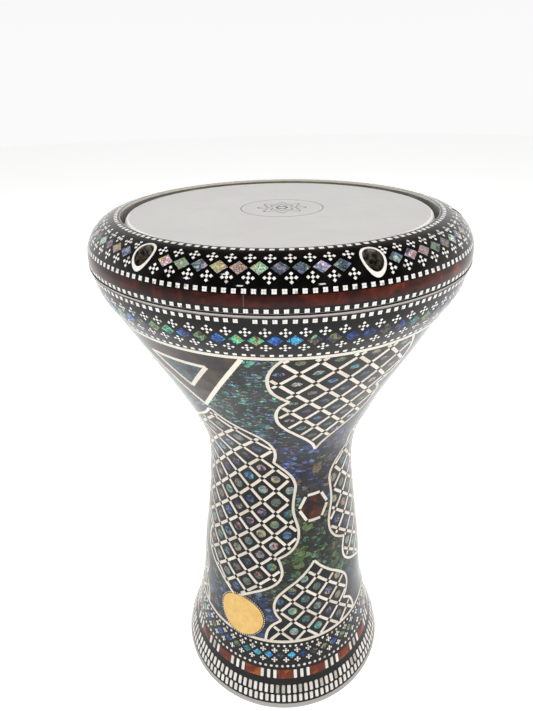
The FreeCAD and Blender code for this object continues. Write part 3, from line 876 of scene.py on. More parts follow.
hexagons, hexagon_beds, hexagon_sticks = Inlay(43), Inlay(44), Inlay(45)
for axis in HEXAGON_AXES:
    tile(hexagon_beds, axis, divided(hexagon(HEXAGON_RADIUS), 2.5), lift=0.05, crown=0, rings=4)
    tile(hexagons, axis, divided(hexagon(HEXAGON_RADIUS - 3.2), 2.5), lift=0.1, crown=0.3,
         rings=4)
    middles = [np.array(corner) for corner in hexagon(HEXAGON_RADIUS - 1.5)]
    for start, end in zip(middles, middles[1:] + middles[:1]):
        trim = (end - start) * 0.085
        route = [start + trim + (end - start - 2 * trim) * share for share in
                 np.linspace(0, 1, 6)]
        stick(hexagon_sticks, axis, route, STICK, lift=0.25, crown=0.2)
hexagons = hexagons.make("hexagon_tortoise_plates", "shell", "tortoise",
                         ["neck_hexagon_plaques"])
hexagon_beds = hexagon_beds.make("hexagon_black_beds", "shell", "black_resin_inlay")
hexagon_sticks = hexagon_sticks.make("hexagon_pearl_sticks", "shell", "pearl")

# %% The gilt disc and its roped border
DISC_TURN, DISC_HEIGHT = -28.8, 91.7
DISC_RADIUS, ROPE_RADIUS = 22.1, 24.6
ROPE_DASHES = 64


def shield(inlay, rings, corners=96):
    """A closed round plate from (radius, lift) rings, from its underside to its middle."""
    middle = (0, along_at(DISC_HEIGHT))
    layers = [on_panel(DISC_TURN, disc(radius, middle, corners), GROUND + lift)
              for radius, lift in rings]
    layers.append(on_panel(DISC_TURN, [middle], GROUND + rings[-1][1]))
    faces = [list(range(corners))[::-1]]
    for ring in range(len(rings) - 1):
        faces += ring_faces(ring * corners, (ring + 1) * corners, corners)
    last = (len(rings) - 1) * corners
    faces += [[last + k, last + (k + 1) % corners, last + corners] for k in range(corners)]
    inlay.add(np.concatenate(layers), faces)


gilt_disc, rope_bed, rope_dashes = Inlay(46), Inlay(47), Inlay(48)
spread = [(radius, 0.7) for radius in (17, 13.5, 10, 6.5, 3)]
shield(gilt_disc, [(DISC_RADIUS, -1.2), (DISC_RADIUS, 0.5), (DISC_RADIUS - 0.15, 0.66),
                   (DISC_RADIUS - 0.5, 0.72), (DISC_RADIUS - 1.1, 0.7)] + spread)
shield(rope_bed, [(ROPE_RADIUS, -0.8), (ROPE_RADIUS, 0.1), (ROPE_RADIUS - 0.3, 0.18)]
       + [(radius, 0.18) for radius in (20, 15, 10, 5)])
for k in range(ROPE_DASHES):
    angle = k * math.tau / ROPE_DASHES
    lean = angle + math.radians(55)
    radius = DISC_RADIUS + 1.2
    middle = np.array([radius * math.cos(angle), along_at(DISC_HEIGHT)
                       + radius * math.sin(angle)])
    reach = np.array([math.cos(lean), math.sin(lean)]) * 0.7
    stick(rope_dashes, DISC_TURN, [middle - reach, middle, middle + reach], 0.6, lift=0.3,
          crown=0.12, depth=0.3)
gilt_disc = gilt_disc.make("gilt_disc", "shell", "gold_disc", ["medallion_disc"])
rope_bed = rope_bed.make("gilt_disc_border", "shell", "black_resin_inlay",
                         ["medallion_border"])
rope_dashes = rope_dashes.make("gilt_disc_rope", "shell", "pearl")

# %% [markdown]
# ## The head
# The head is a film pressed into a shallow pan: flat on top, bent over a small radius and
# sloping down outside the bearing edge into its hoop.  It is one turned solid with the film's
# real thickness, because a surface with no thickness would have no edge under the ring.
# A thin printed ring and an eight-fold star, plain geometry, mark the middle.

# %% Film
FILM_LOW, FILM_HIGH = (corner.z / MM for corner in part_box("head_film"))
FILM_THICK, FILM_FLAT, FILM_BEND = 0.3, 108.5, 2.6
FILM_SKIRT, FILM_TURN_DOWN = math.radians(65), 441.0


def film_profile(inset, rings=12):
    """The film's section from the axis to its lower edge, moved inwards by inset."""
    top, bend = FILM_HIGH - inset, FILM_BEND - inset
    points = [(FILM_FLAT * k / rings, top) for k in range(rings + 1)]
    for k in range(1, 9):
        angle = FILM_SKIRT * k / 8
        points.append((FILM_FLAT + bend * math.sin(angle),
                       FILM_HIGH - FILM_BEND + bend * math.cos(angle)))
    radius, height = points[-1]
    edge = radius + (height - FILM_TURN_DOWN) / math.tan(FILM_SKIRT)
    return points + [(edge, FILM_TURN_DOWN), (edge, FILM_LOW)]


film = Inlay(50)
turned(film, film_profile(0.0) + film_profile(FILM_THICK)[::-1], segments=240)
film = film.make("head_skin", "head", "film", ["head_film"])
print("film top at", round(FILM_HIGH, 2), "mm")

# %% Printed ring and star
INK = 0.02
PRINT_RADIUS, STAR_RADIUS = 30.4, 15.0
PRINT_PLACE = (2.4, 1.0)        # pressed on by hand, a little off the middle


def print_band(inlay, inner, outer):
    """A flat line of ink between two closed outlines with the same number of points."""
    count = len(inner)
    layers = []
    for ring, height in [(inner, -0.01), (outer, -0.01), (outer, INK), (inner, INK)]:
        layers += [(x, y, FILM_HIGH + height) for x, y in ring]
    faces = []
    for row in range(4):
        faces += ring_faces(row * count, (row + 1) % 4 * count, count)
    inlay.add(np.array(layers) * MM, faces)


def wavy(radius, waves=0.0, corners=192):
    """A circle, or a star with eight soft points if waves is set."""
    points = []
    for k in range(corners):
        angle = k * math.tau / corners
        reach = radius + waves * math.cos(8 * angle)
        points.append((PRINT_PLACE[0] + reach * math.cos(angle),
                       PRINT_PLACE[1] + reach * math.sin(angle)))
    return points


head_print = Inlay(51)
print_band(head_print, wavy(PRINT_RADIUS - 0.3), wavy(PRINT_RADIUS + 0.3))
print_band(head_print, wavy(STAR_RADIUS - 0.5, 3.0), wavy(STAR_RADIUS + 0.5, 3.0))
print_band(head_print, wavy(8.6, 2.0), wavy(9.6, 2.0))
print_band(head_print, wavy(3.0), wavy(4.6))
head_print = head_print.make("head_print", "head", "film")

# %% [markdown]
# ## Tuning bolts
# A socket cap bolt is a stack of rings: a knurled head with a hexagonal socket, and a shank
# with a helical thread.  Each ring's radius can depend on the angle, so one grid makes the
# knurls, the hexagon and the thread, with no booleans and no loose faces.

# %% Bolts
BOLT_COLUMNS = 96
bolt_low, bolt_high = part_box("tuning_bolt_1")
BOLT_END, HEAD_TOP = bolt_low.z / MM, bolt_high.z / MM
HEAD_RADIUS, HEAD_TALL, SHANK_RADIUS, PITCH_MM = 5.0, 6.0, 3.0, 1.0
SOCKET, SOCKET_DEEP = 5.0, 3.4
HEAD_SEAT = HEAD_TOP - HEAD_TALL
column_turns = np.arange(BOLT_COLUMNS) * math.tau / BOLT_COLUMNS


def round_ring(radius):
    return np.full(BOLT_COLUMNS, radius)


def knurled_ring(radius):
    return radius - 0.14 * (np.arange(BOLT_COLUMNS) % 2)


def hexagon_ring(across_flats):
    folded = (column_turns + math.pi / 6) % (math.pi / 3) - math.pi / 6
    return across_flats / 2 / np.cos(folded)


def thread_ring(height):
    """The thread's radius round the shank at one height: it climbs one pitch in a turn."""
    phase = (height / PITCH_MM - column_turns / math.tau) % 1
    return SHANK_RADIUS - 0.03 - 0.55 * np.abs(2 * phase - 1)


def bolt_rings():
    """Rings from the socket's floor, over the head, and down the shank."""
    floor = HEAD_TOP - SOCKET_DEEP
    rings = [(floor, hexagon_ring(SOCKET)), (HEAD_TOP - 0.35, hexagon_ring(SOCKET)),
             (HEAD_TOP - 0.02, round_ring(3.15)), (HEAD_TOP, round_ring(3.4)),
             (HEAD_TOP, round_ring(4.3)), (HEAD_TOP - 0.25, round_ring(4.65)),
             (HEAD_TOP - 0.7, round_ring(4.84)), (HEAD_TOP - 0.75, knurled_ring(HEAD_RADIUS)),
             (HEAD_SEAT + 0.5, knurled_ring(HEAD_RADIUS)), (HEAD_SEAT + 0.4, round_ring(4.8)),
             (HEAD_SEAT, round_ring(4.7)), (HEAD_SEAT, round_ring(SHANK_RADIUS))]
    thread_top = HEAD_SEAT - 2.0
    rings.append((thread_top, round_ring(SHANK_RADIUS)))
    rows = round((thread_top - BOLT_END - 0.6) / (PITCH_MM / 4))
    heights = np.linspace(thread_top - 0.2, BOLT_END + 0.6, rows)
    rings += [(height, thread_ring(height)) for height in heights]
    return rings + [(BOLT_END, round_ring(SHANK_RADIUS - 0.7))]


def make_bolt(number, place):
    inlay = Inlay(60 + number)
    points = [(place.x, place.y, HEAD_TOP - SOCKET_DEEP - 0.4)]
    rings = bolt_rings()
    for height, radii in rings:
        points += [(place.x + radius * math.cos(a), place.y + radius * math.sin(a), height)
                   for radius, a in zip(radii, column_turns)]
    points.append((place.x, place.y, BOLT_END))
    last = len(points) - 1
    faces = [[0, 1 + k, 1 + (k + 1) % BOLT_COLUMNS] for k in range(BOLT_COLUMNS)]
    for row in range(len(rings) - 1):
        start = 1 + row * BOLT_COLUMNS
        faces += [face[::-1] for face in ring_faces(start, start + BOLT_COLUMNS, BOLT_COLUMNS)]
    start = last - BOLT_COLUMNS
    faces += [[start + (k + 1) % BOLT_COLUMNS, start + k, last] for k in range(BOLT_COLUMNS)]
    inlay.add(np.array(points) * MM, faces)
    return inlay.make(f"socket_bolt_{number}", f"bolt_{number}", "bolt_steel",
                      [f"tuning_bolt_{number}"])


socket_bolts = [make_bolt(number, place) for number, place in enumerate(BOLTS, start=1)]

# %% [markdown]
# ## Writing finishes as expressions
# A procedural finish is arithmetic on a place: noise, cells, masks.  Drawn by hand it becomes a
# web of Math nodes.  Here one small class stands for a socket and overloads the operators, so
# that `1 - mask * 0.5` adds the Math nodes by itself.  Any other node comes from one method
# that sets the node's settings first and then its sockets.

# %% The socket class and the node sheet
def tone(red, green, blue):
    """A colour given from 0 to 255, as the linear colour that shaders want."""
    def linear(value):
        value /= 255
        return value / 12.92 if value <= 0.04045 else ((value + 0.055) / 1.055) ** 2.4
    return linear(red), linear(green), linear(blue), 1.0


class Signal:
    """One output socket; arithmetic on it adds Math nodes."""

    def __init__(self, sheet, socket):
        self.sheet, self.socket = sheet, socket

    def maths(self, operation, first, second):
        return self.sheet.node("ShaderNodeMath", {"operation": operation},
                               {0: first, 1: second})

    def __add__(self, other):
        return self.maths("ADD", self, other)

    def __radd__(self, other):
        return self.maths("ADD", other, self)

    def __sub__(self, other):
        return self.maths("SUBTRACT", self, other)

    def __rsub__(self, other):
        return self.maths("SUBTRACT", other, self)

    def __mul__(self, other):
        return self.maths("MULTIPLY", self, other)

    def __rmul__(self, other):
        return self.maths("MULTIPLY", other, self)

    def __truediv__(self, other):
        return self.maths("DIVIDE", self, other)

    def __mod__(self, other):
        return self.maths("FLOORED_MODULO", self, other)

    def __pow__(self, other):
        return self.maths("POWER", self, other)

    def __gt__(self, other):
        return self.maths("GREATER_THAN", self, other)

    def __lt__(self, other):
        return self.maths("LESS_THAN", self, other)


class Sheet:
    """A node tree, with the few helpers that the finishes share."""

    def __init__(self, tree):
        self.tree = tree
        tree.nodes.clear()

    def node(self, kind, settings=None, sockets=None, out=0):
        made = self.tree.nodes.new(kind)
        for name, value in (settings or {}).items():
            if name == "stops":
                self.fill_ramp(made.color_ramp, value)
            else:
                setattr(made, name, value)
        for name, value in (sockets or {}).items():
            if isinstance(value, Signal):
                self.tree.links.new(value.socket, made.inputs[name])
            else:
                made.inputs[name].default_value = value
        return Signal(self, made.outputs[out])

    @staticmethod
    def fill_ramp(ramp, stops):
        while len(ramp.elements) < len(stops):
            ramp.elements.new(1.0)
        for element, (place, colour) in zip(ramp.elements, stops):
            element.position = place
            element.color = colour

    def ramp(self, factor, stops):
        return self.node("ShaderNodeValToRGB", {"stops": stops}, {"Fac": factor})

    def between(self, value, low, high):
        """0 below low, 1 above high, and a straight line between them."""
        return self.node("ShaderNodeMapRange", {"clamp": True},
                         {"Value": value, "From Min": low, "From Max": high})

    def mix(self, factor, first, second, blend="MIX"):
        return self.node("ShaderNodeMix", {"data_type": "RGBA", "blend_type": blend},
                         {0: factor, 6: first, 7: second}, out=2)

    def vector(self, operation, first, second):
        return self.node("ShaderNodeVectorMath", {"operation": operation},
                         {0: first, 1: second})

    def output(self, kind, surface):
        self.tree.links.new(surface.socket, self.tree.nodes.new(kind).inputs["Surface"])

    def parts(self, vector):
        made = self.node("ShaderNodeSeparateXYZ", None, {0: vector}).socket.node
        return [Signal(self, made.outputs[k]) for k in range(3)]


class Finish(Sheet):
    """A material on the drum, which knows each point's place in millimetres."""

    def __init__(self, name):
        self.material = bpy.data.materials.new(name)
        self.material.use_nodes = True
        super().__init__(self.material.node_tree)
        metres = self.node("ShaderNodeTexCoord", out="Object")
        self.place = self.vector("MULTIPLY", metres, (1 / MM,) * 3)

    def noise(self, size, detail=3.0, roughness=0.5, stretch=(1, 1, 1), place=None, bend=0.0):
        """Noise whose features are about size millimetres across."""
        place = self.vector("MULTIPLY", place or self.place, stretch)
        return self.node("ShaderNodeTexNoise", None,
                         {"Vector": place, "Scale": 1 / size, "Detail": detail,
                          "Roughness": roughness, "Distortion": bend})

    def axis_distance(self):
        """Distance from the drum's axis."""
        flat = self.vector("MULTIPLY", self.place, (1, 1, 0))
        return self.node("ShaderNodeVectorMath", {"operation": "LENGTH"}, {0: flat}, out="Value")

    def shade(self, colour, brightness):
        """A colour made darker or lighter."""
        grey = self.node("ShaderNodeCombineXYZ", None, {k: brightness for k in range(3)})
        return self.mix(1.0, colour, grey, blend="MULTIPLY")

    def tints(self):
        """The three random numbers of each small plate."""
        made = self.node("ShaderNodeAttribute", {"attribute_name": "tint"}, out="Vector")
        return self.parts(made)

    def bump(self, height, depth, strength=1.0):
        return self.node("ShaderNodeBump", None,
                         {"Strength": strength, "Distance": depth * MM, "Height": height})

    def finish(self, **sockets):
        """The Principled shader; underscores in names stand for spaces."""
        sockets = {name.replace("_", " "): value for name, value in sockets.items()}
        self.output("ShaderNodeOutputMaterial",
                    self.node("ShaderNodeBsdfPrincipled", None, sockets))
        return self.material


print("sheets are ready")

# %% [markdown]
# ## Black resin
# The resin is nearly black, with clouds of lighter grey where the filler shows, and it lies
# under thick clear lacquer.  The Principled shader's coat is that lacquer: smooth and sharp
# over a duller base.

# %% Black resin
LACQUER = {"Coat_IOR": 1.34, "Coat_Roughness": 0.04, "Specular_IOR_Level": 0.0}
JOINT_LOW, JOINT_HIGH = 419.2, 422.1    # lacquer is rubbed through on both sides of the joint


def black_resin():
    finish = Finish("black_resin")
    clouds = finish.noise(14, detail=5, roughness=0.6)
    specks = finish.noise(0.8, detail=2)
    base = finish.mix(finish.between(clouds, 0.42, 0.75), tone(5, 5, 5), tone(22, 20, 19))
    colour = finish.mix(finish.between(specks, 0.62, 0.75) * 0.4, base, tone(38, 35, 33))
    height = finish.parts(finish.place)[2]
    worn = (height > JOINT_LOW) * (height < JOINT_HIGH)
    # Painted reflection: the resin's inner edge at the ring's opening is painted pale beige, as it
    # looks where it catches light at a grazing angle.
    mouth_reflection = (finish.axis_distance() < NOSE_RADIUS + 0.25) * (height > BRIM)
    metal_edge = finish.mix(finish.between(clouds, 0.3, 0.6), tone(96, 92, 88), tone(150, 146, 140))
    colour = finish.mix(worn, colour, metal_edge)
    colour = finish.mix(mouth_reflection, colour, tone(206, 198, 182))
    return finish.finish(Base_Color=colour, Roughness=finish.between(clouds, 0, 1) * 0.3 + 0.25,
                         Coat_Weight=1 - worn * 0.6, **LACQUER)


resin = black_resin()
print("made", resin.name)

# %% [markdown]
# ## Crushed shell
# The neck's ground is flakes of shell bedded in dark resin.  Cells of a Voronoi texture are
# the flakes: each cell's random colour decides if a flake is there, how bright it is and where
# it sits on the colour ramp.  Flakes are long and thin round the bowl, larger and bluer at the
# waist and rounder and greener below, so the cells' size and the ramp depend on the height.

# %% Crushed shell
TEAL_FLAKES = [(0.0, tone(60, 96, 92)), (0.22, tone(92, 160, 130)), (0.42, tone(86, 190, 176)),
               (0.56, tone(96, 104, 120)), (0.7, tone(112, 122, 214)), (0.84, tone(120, 150, 100)),
               (1.0, tone(150, 122, 112))]
BLUE_FLAKES = [(0.0, tone(38, 38, 52)), (0.2, tone(74, 82, 146)), (0.4, tone(96, 108, 186)),
               (0.52, tone(74, 132, 146)), (0.64, tone(96, 92, 134)), (0.76, tone(92, 80, 68)),
               (1.0, tone(122, 108, 84))]
GREEN_FLAKES = [(0.0, tone(40, 54, 40)), (0.25, tone(64, 112, 84)), (0.42, tone(112, 136, 76)),
                (0.58, tone(84, 90, 70)), (0.74, tone(70, 134, 120)), (0.88, tone(130, 104, 84)),
                (1.0, tone(92, 96, 120))]


def flakes(finish, size, stretch, present, seed):
    """One layer of flakes: where they are, their hue and their brightness."""
    shifted = finish.vector("ADD", finish.place, (seed, seed, seed))
    warp = finish.node("ShaderNodeTexNoise", None,
                       {"Vector": shifted, "Scale": 0.8 / size, "Detail": 1.0}, out="Color")
    warp = finish.vector("MULTIPLY", warp, (size * 0.7,) * 3)
    place = finish.vector("MULTIPLY", finish.vector("ADD", shifted, warp), stretch)
    cells = {"Vector": place, "Scale": 1 / size}
    dice = finish.parts(finish.node("ShaderNodeTexVoronoi", None, cells, out="Color"))
    edge = finish.node("ShaderNodeTexVoronoi", {"feature": "DISTANCE_TO_EDGE"}, cells)
    mask = finish.between(edge, 0.03, 0.08) * (dice[0] < present)
    return mask, dice[1], dice[2]


def crushed_shell():
    finish = Finish("crushed_shell")
    height = finish.parts(finish.place)[2]
    drift = height + (finish.noise(40, detail=1) - 0.5) * 60
    streaks = finish.noise(1.6, detail=4, roughness=0.7, stretch=(1, 1, 1.8), bend=1.2)
    clouds = finish.noise(20, detail=2)
    colour = finish.mix(finish.between(clouds, 0.4, 0.7), tone(24, 24, 25), tone(54, 52, 49))
    upper_part = finish.between(height, 290, 312)
    waist = finish.between(drift, 215, 235)
    foot_end = 1 - finish.between(drift, 112, 128)
    thick = finish.between(finish.noise(16, detail=2), 0.38, 0.62)
    layers = [(8.5, (1, 1, 1.05), (1 - upper_part) * 0.6, 3.0, 0.95),
              (4.6, (1, 1, 1.5), (1 - upper_part) * 0.45 + upper_part * 0.14, 31.0, 1.25),
              (2.6, (1, 1, 2.2), upper_part * (thick * 0.3 + 0.12) + 0.12, 17.0, 1.6)]
    for size, stretch, present, seed, power in layers:
        mask, hue, light = flakes(finish, size, stretch, present, seed)
        spot = hue * 0.85 + streaks * 0.35 - 0.08
        low = finish.mix(foot_end, finish.ramp(spot, GREEN_FLAKES), finish.ramp(spot, BLUE_FLAKES))
        flake = finish.mix(waist, low, finish.ramp(spot, BLUE_FLAKES))
        flake = finish.mix(upper_part, flake, finish.ramp(spot, TEAL_FLAKES))
        gleam = finish.between(streaks, 0.3, 0.72) * (light ** 2.2 * 1.9 + 0.16) * power
        colour = finish.mix(mask * 0.92, colour, finish.shade(flake, gleam))
    return finish.finish(Base_Color=colour, Roughness=0.35, Coat_Weight=1.0,
                         Normal=finish.bump(streaks, 0.12, 0.25), **LACQUER)


ground = crushed_shell()
print("made", ground.name)

# %% [markdown]
# ## Pearl and bone
# The strips are mother-of-pearl, cream and faintly clouded, and each plate has its own shade.
# The tint attribute makes that: one number for brightness, one for warmth, and the few plates
# above a limit become the dull grey ones that every maker's tray has.

# %% Pearl
def pearl(name, pale, warm, dull_share=0.0, gloss=0.5):
    finish = Finish(name)
    brightness, warmth, odd = finish.tints()
    clouds = finish.noise(2.4, detail=3, bend=1.0)
    grain = finish.noise(0.9, detail=2, stretch=(1, 1, 3))
    colour = finish.mix(finish.between(clouds + warmth - 0.5, 0.2, 1.1), pale, warm)
    shade = (0.9 + brightness * 0.1) * (0.94 + finish.between(grain, 0.3, 0.7) * 0.06)
    colour = finish.shade(colour, shade)
    dull = finish.mix(finish.between(clouds, 0.4, 0.6), tone(112, 104, 98), tone(176, 160, 146))
    colour = finish.mix((odd > 1 - dull_share) * 0.7, colour, dull)
    return finish.finish(Base_Color=colour, Roughness=0.38, Coat_Weight=gloss, Coat_IOR=1.45,
                         Coat_Roughness=0.05, Normal=finish.bump(grain, 0.03, 0.3))


cream_pearl = pearl("cream_pearl", tone(236, 228, 214), tone(218, 206, 188), 0.0, gloss=0.25)
white_pearl = pearl("white_pearl", tone(252, 250, 246), tone(242, 236, 226), 0.04, gloss=0.3)
foot_pearl_finish = pearl("foot_pearl", tone(246, 243, 236), tone(226, 216, 202), 0.1, gloss=1.0)
print("made three pearls")

# %% [markdown]
# ## Iridescent shell
# Abalone shows bands of colour that follow its growth, with dark lines between them.  The real
# colours change as it is turned, but a finish that reads the camera would be lost on export,
# so here bent noise runs along a ramp: each plate starts at its own place on the ramp.
# The brighter stretches within the bands are painted sheen, standing for the shell's shimmer in
# light.

# %% Shell plates
SILVER_SHELL = [(0.0, tone(60, 70, 72)), (0.14, tone(150, 178, 168)), (0.26, tone(212, 214, 190)),
                (0.38, tone(120, 190, 160)), (0.5, tone(222, 206, 150)), (0.62, tone(170, 140, 110)),
                (0.74, tone(214, 180, 186)), (0.86, tone(128, 142, 180)), (1.0, tone(70, 84, 90))]
BLUE_SHELL = [(0.0, tone(20, 30, 44)), (0.12, tone(30, 72, 170)), (0.26, tone(60, 118, 214)),
              (0.38, tone(76, 206, 204)), (0.5, tone(40, 72, 120)), (0.62, tone(96, 200, 150)),
              (0.74, tone(140, 150, 92)), (0.86, tone(112, 90, 66)), (1.0, tone(44, 44, 66))]
DOT_SHELL = [(0.0, tone(34, 36, 48)), (0.13, tone(70, 76, 130)), (0.26, tone(64, 140, 150)),
             (0.38, tone(122, 146, 104)), (0.5, tone(176, 156, 112)), (0.62, tone(104, 92, 96)),
             (0.74, tone(84, 164, 160)), (0.86, tone(186, 140, 128)), (1.0, tone(50, 54, 86))]


def shell(name, stops, size, vividness=1.0, lines=0.6):
    finish = Finish(name)
    start, light, turn = finish.tints()
    offset = finish.node("ShaderNodeCombineXYZ", None, {0: start * 90, 1: light * 90, 2: turn * 90})
    moved = finish.vector("ADD", finish.place, offset)
    bands = finish.noise(size, detail=1, roughness=0.5, place=moved, bend=1.6)
    fine = finish.noise(size / 5, detail=3, roughness=0.7, place=moved, bend=1.0)
    colour = finish.ramp((start * 1.7 + bands * 1.1 + fine * 0.12) % 1.0, stops)
    growth = (bands * 11 + fine * 0.8) % 1.0
    # Painted sheen: gleam brightens stretches of the growth bands and stands for the shimmer that
    # the shell shows in light.
    gleam = finish.between(growth, 0.45, 0.95) * 1.1 + 0.45
    colour = finish.shade(colour, (0.4 + light * 0.8) * vividness * gleam)
    colour = finish.mix((growth < 0.2) * lines, colour, tone(14, 16, 18))
    return finish.finish(Base_Color=colour, Roughness=0.25, Metallic=0.1, Coat_Weight=1.0,
                         Normal=finish.bump(bands, 0.15, 0.25), **LACQUER)


silver_shell = shell("silver_shell", SILVER_SHELL, 6.0, 1.3, 0.4)
blue_shell = shell("blue_shell", BLUE_SHELL, 6.0, 1.2, 0.75)
dot_shell = shell("dot_shell", DOT_SHELL, 8.0, 1.15, 0.35)
gable_shell = shell("gable_shell", DOT_SHELL, 14.0, 0.55, 0.5)
print("made four shells")

# %% [markdown]
# ## Tortoiseshell
# The brown plates are dark red-brown, with clouds of amber where the light gets in.  Real
# tortoiseshell is translucent, but these plates lie on dark resin, so the amber is painted by
# broad noise, and the lacquer does the rest.

# %% Tortoiseshell
def tortoise(name, stops, size, joint=False):
    finish = Finish(name)
    shade, warmth, odd = finish.tints()
    offset = finish.node("ShaderNodeCombineXYZ", None, {0: shade * 60, 1: warmth * 60, 2: odd * 60})
    moved = finish.vector("ADD", finish.place, offset)
    clouds = finish.noise(size, detail=3, roughness=0.6, place=moved, bend=0.8)
    fine = finish.noise(size / 6, detail=3, place=moved)
    spot = finish.between(clouds + fine * 0.15 + shade * 0.12, 0.42, 0.82)
    colour = finish.ramp(spot, stops)
    if joint:
        colour = finish.mix(butt_joint(finish), colour, tone(92, 82, 76))
    return finish.finish(Base_Color=colour, Roughness=0.3, Coat_Weight=1.0, **LACQUER)


def butt_joint(finish, turn=-7.9, half=0.22):
    """A mask that is 1 along the upright joint where the band's ends meet."""
    x, y, height = finish.parts(finish.place)
    across = x * math.cos(math.radians(turn)) + y * math.sin(math.radians(turn))
    return (across < half) * (across > -half) * (y < 0)


BAND_SHELL = [(0.0, tone(18, 4, 2)), (0.4, tone(46, 8, 4)), (0.72, tone(80, 24, 8)),
              (1.0, tone(132, 62, 16))]
PLAQUE_SHELL = [(0.0, tone(8, 4, 3)), (0.45, tone(34, 10, 4)), (0.75, tone(78, 30, 8)),
                (1.0, tone(126, 58, 14))]
BLOCK_SHELL = [(0.0, tone(70, 10, 7)), (0.35, tone(94, 24, 9)), (0.7, tone(120, 46, 11)),
               (1.0, tone(160, 84, 20))]
GABLE_SHELL = [(0.0, tone(24, 21, 19)), (0.5, tone(44, 38, 34)), (1.0, tone(76, 62, 50))]
band_tortoise = tortoise("band_tortoise", BAND_SHELL, 26, joint=True)
plaque_tortoise = tortoise("plaque_tortoise", PLAQUE_SHELL, 14)
block_tortoise = tortoise("block_tortoise", BLOCK_SHELL, 16)
gable_tortoise = tortoise("gable_tortoise", GABLE_SHELL, 18)
print("made four tortoiseshells")

# %% [markdown]
# ## Metals
# Bare casting shows at the foot's lip, under the ring, inside the drum and down the wells.
# Inside it is as cast, rough and grey, at the lips it is turned bright, and down the wells it is
# dark with dust and painted shade.  A mask by the height and the distance from a well's axis
# tells the three apart in one finish.

# %% Cast aluminium
WELL_CIRCLE = math.hypot(BOLTS[0].x, BOLTS[0].y)
WELL_PHASE = math.atan2(BOLTS[0].x, -BOLTS[0].y)


def well_distance(finish):
    """Distance from the nearest bolt's axis, by folding the drum into one sixth."""
    x, y, height = finish.parts(finish.place)
    turn = finish.node("ShaderNodeMath", {"operation": "ARCTAN2"}, {0: x, 1: y * -1.0})
    sixth = math.tau / 6
    side = ((turn - WELL_PHASE + sixth / 2) % sixth - sixth / 2) * WELL_CIRCLE
    off = finish.axis_distance() - WELL_CIRCLE
    return finish.node("ShaderNodeMath", {"operation": "SQRT"}, {0: off * off + side * side})


def dust_and_shade(finish, grain):
    """Old lacquer and dust in a well, together with painted shade down the deep hole."""
    return finish.mix(finish.between(grain, 0.4, 0.66), tone(14, 13, 12), tone(128, 116, 102))


def cast_aluminium():
    finish = Finish("cast_aluminium")
    height = finish.parts(finish.place)[2]
    sand = finish.noise(1.1, detail=4, roughness=0.7)
    stains = finish.noise(30, detail=3)
    turning = finish.noise(0.35, detail=2, stretch=(0.02, 0.02, 1))
    rough = finish.mix(finish.between(stains, 0.35, 0.7), tone(132, 131, 129), tone(168, 166, 162))
    lips = (height < 4.9) + (height > 419.0) * (height < 425.0)
    colour = finish.mix(lips, rough, tone(176, 172, 168))
    # Down the wells the casting is painted dark: old lacquer and dust, and painted shade in the deep
    # holes.
    well = (well_distance(finish) < 7.3) * (height > 431.0)
    colour = finish.mix(well, colour, dust_and_shade(finish, finish.noise(2.6, detail=4)))
    return finish.finish(Base_Color=colour, Metallic=1 - well * 0.8,
                         Roughness=0.62 - lips * 0.3 + turning * lips * 0.2,
                         Normal=finish.bump(sand * (1 - lips * 0.8), 0.25, 0.7))


casting_finish = cast_aluminium()
print("made", casting_finish.name)

# %% Hoop, washers, bolts and gilding
def metal(name, dark, light, roughness, size, metallic=1.0, depth=0.03, stretch=(1, 1, 1)):
    """A worn metal: two tones clouded together, with a fine bump."""
    finish = Finish(name)
    clouds = finish.noise(size, detail=4, roughness=0.6)
    grain = finish.noise(size / 12, detail=2, stretch=stretch)
    colour = finish.mix(finish.between(clouds, 0.35, 0.68), dark, light)
    return finish.finish(Base_Color=colour, Metallic=metallic,
                         Roughness=roughness + finish.between(grain, 0.3, 0.7) * 0.14,
                         Normal=finish.bump(grain, depth, 0.5))


hoop_finish = metal("hoop_aluminium", tone(160, 160, 160), tone(196, 196, 194), 0.35, 9,
                    stretch=(0.1, 0.1, 1))
washer_finish = metal("washer_zinc", tone(120, 122, 124), tone(168, 168, 164), 0.35, 3)
bolt_finish = metal("blackened_steel", tone(26, 26, 27), tone(58, 56, 54), 0.32, 3)
gilt_finish = metal("satin_gilt", tone(226, 182, 104), tone(236, 200, 126), 0.42, 6, 0.55)
print("made four metals")

# %% [markdown]
# ## Film, ink, ferrules and bond
# The head is a satin white film, faintly mottled where a hand has played.  The ferrules are
# cream tube, the ink is a soft grey, and the bond in the hoop is amber epoxy.

# %% The remaining finishes
def satin_film():
    finish = Finish("satin_film")
    radius = finish.axis_distance()
    mottle = finish.noise(38, detail=4, roughness=0.6)
    grain = finish.noise(0.5, detail=2)
    colour = finish.mix(finish.between(mottle, 0.3, 0.7), tone(203, 200, 199), tone(208, 207, 203))
    played = finish.between(finish.noise(9, detail=3), 0.5, 0.8) * (radius < 95)
    colour = finish.mix(played * 0.12, colour, tone(184, 180, 176))
    # Painted highlight: from the bend over the bearing edge outwards the film is painted near white,
    # as the bend looks where it catches the light.
    colour = finish.mix(finish.between(radius, 108.6, 109.2), colour, tone(254, 254, 252))
    return finish.finish(Base_Color=colour, Roughness=0.42 + played * 0.06,
                         Normal=finish.bump(grain, 0.02, 0.4))


def speckled(name, plain, speck, roughness, size=1.5, coat=0.0):
    """A plain body colour with soft specks, for ink, tube and epoxy."""
    finish = Finish(name)
    cloud = finish.noise(size, detail=3)
    colour = finish.mix(finish.between(cloud, 0.4, 0.75), plain, speck)
    return finish.finish(Base_Color=colour, Roughness=roughness + cloud * 0.1, Coat_Weight=coat,
                         Normal=finish.bump(cloud, 0.03, 0.3))


